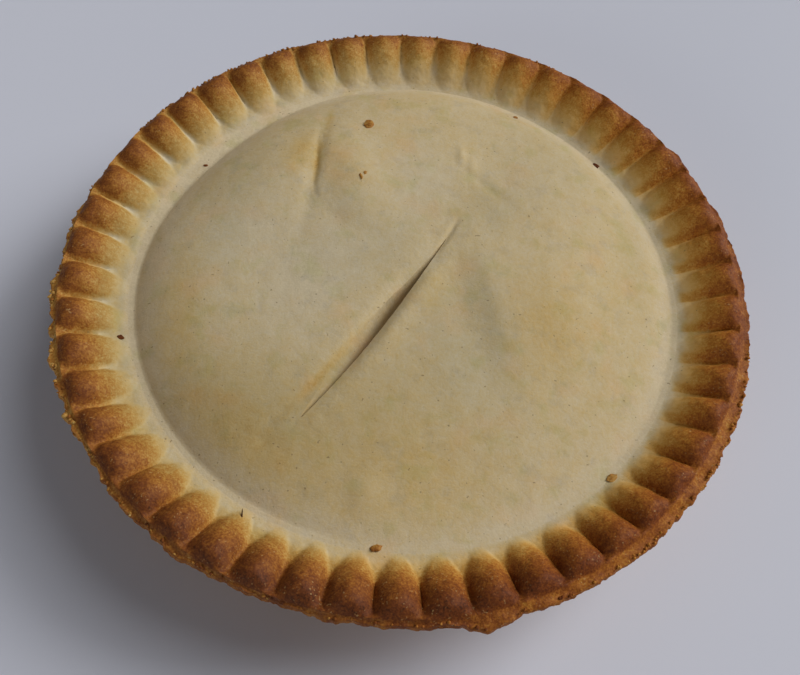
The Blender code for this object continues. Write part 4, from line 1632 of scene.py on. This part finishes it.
def table_finish():
    """A plain pale table top."""
    finish = Finish("table_top", roughness=0.6, gloss=0.25)
    finish.feed('Base Color', finish.mix(*TABLE_COLOURS, finish.noise(*TABLE_CLOUDS)))
    return finish.material


table_mesh = bpy.data.meshes.new("table_top")
table_mesh.from_pydata([(-TABLE_HALF, -TABLE_HALF, 0), (TABLE_HALF, -TABLE_HALF, 0),
                        (TABLE_HALF, TABLE_HALF, 0), (-TABLE_HALF, TABLE_HALF, 0)],
                       [], [(0, 1, 2, 3)])
table_mesh.materials.append(table_finish())
table_top = place("table_top", table_mesh)
print("table:", [round(side, 1) for side in table_top.dimensions], "m")

# %% [markdown]
# ## The light
# Daylight comes in low from the right and a little behind, and some of it from higher up.  Two
# broad far lamps stand for it, and their breadth gives the shadow its soft edge.  A weak low one
# at the near left is what a wall throws back, and a dim bluish sky fills the shade.  Area lamps
# would do as well, but they grow weaker over the table.

# %% The light
FAR_LAMPS = (               # name, direction and height in degrees, strength
    ("window_light", 26, 30, 1.70),
    ("high_window_light", 26, 50, 0.92),
    ("light_off_the_wall", 235, 15, 0.48),
)
LAMP_SPREAD = math.radians(34)
SKY_STRENGTH = 0.11
SKY_COLOUR = (0.90, 0.94, 1.0, 1.0)


def far_lamp(name, turn, height, strength):
    """A broad far lamp that shines on the pie from one direction."""
    data = bpy.data.lights.new(name, 'SUN')
    data.angle = LAMP_SPREAD
    data.energy = strength
    lamp = bpy.data.objects.new(name, data)
    bpy.context.scene.collection.objects.link(lamp)
    toward = Vector((math.cos(height) * math.cos(turn), math.cos(height) * math.sin(turn),
                     math.sin(height)))
    lamp.rotation_euler = toward.to_track_quat('Z', 'Y').to_euler()


for lamp_name, lamp_turn, lamp_height, lamp_strength in FAR_LAMPS:
    far_lamp(lamp_name, math.radians(lamp_turn), math.radians(lamp_height), lamp_strength)
sky = bpy.data.worlds.new("room_light")
bpy.context.scene.world = sky
sky.use_nodes = True
sky_light = sky.node_tree.nodes["Background"]
sky_light.inputs["Color"].default_value = SKY_COLOUR
sky_light.inputs["Strength"].default_value = SKY_STRENGTH
bpy.context.scene.view_settings.view_transform = 'Standard'
print("far lamps:", len(FAR_LAMPS), "and a sky of strength", SKY_STRENGTH)

# %% [markdown]
# ## Camera
# The camera looks steeply down, as somebody standing at the table does.  Its place and turn are
# given by a few angles, which are easier to adjust than a matrix, and the lens by the picture's
# width of 800 pixels.

# %% The camera
CAMERA_ELEVATION = math.radians(55.24)
CAMERA_DISTANCE = 240.4 * MM
CAMERA_ROLL = math.radians(4.88)
CAMERA_YAW = math.radians(-0.09)
CAMERA_PITCH = math.radians(-4.73)
CAMERA_AIM_HEIGHT = RIM_HEIGHT - LEDGE_DROP
FOCAL_PIXELS = 820.0
PICTURE_WIDTH = 800.0
SENSOR_WIDTH = 36.0                 # Blender gives lenses and sensors in millimetres
CLIP_START = 10 * MM


def turned(first, second, angle):
    """Two directions turned together in their own plane."""
    return (first * math.cos(angle) + second * math.sin(angle),
            second * math.cos(angle) - first * math.sin(angle))


def make_camera():
    """The camera above the near side of the pie."""
    back = Vector((0.0, -math.cos(CAMERA_ELEVATION), math.sin(CAMERA_ELEVATION)))
    right = Vector((1.0, 0.0, 0.0))
    forward, right = turned(-back, right, CAMERA_YAW)
    up = right.cross(forward)
    forward, up = turned(forward, up, CAMERA_PITCH)
    right, up = turned(right, up, CAMERA_ROLL)
    data = bpy.data.cameras.new("camera")
    data.sensor_width = SENSOR_WIDTH
    data.lens = FOCAL_PIXELS / PICTURE_WIDTH * SENSOR_WIDTH
    data.clip_start = CLIP_START
    camera = bpy.data.objects.new("camera", data)
    bpy.context.scene.collection.objects.link(camera)
    turn = Matrix((right, up, -forward)).transposed().to_4x4()
    spot = back * CAMERA_DISTANCE + Vector((0.0, 0.0, CAMERA_AIM_HEIGHT))
    camera.matrix_world = Matrix.Translation(spot) @ turn
    return camera


camera = make_camera()
bpy.context.scene.camera = camera
print("camera at, mm:", [round(value / MM, 1) for value in camera.matrix_world.translation])

# %% [markdown]
# ## Bring the scene up to date
# The dressed pie must stay within the solid's box.

# %% Bring the scene up to date
bpy.context.view_layer.update()
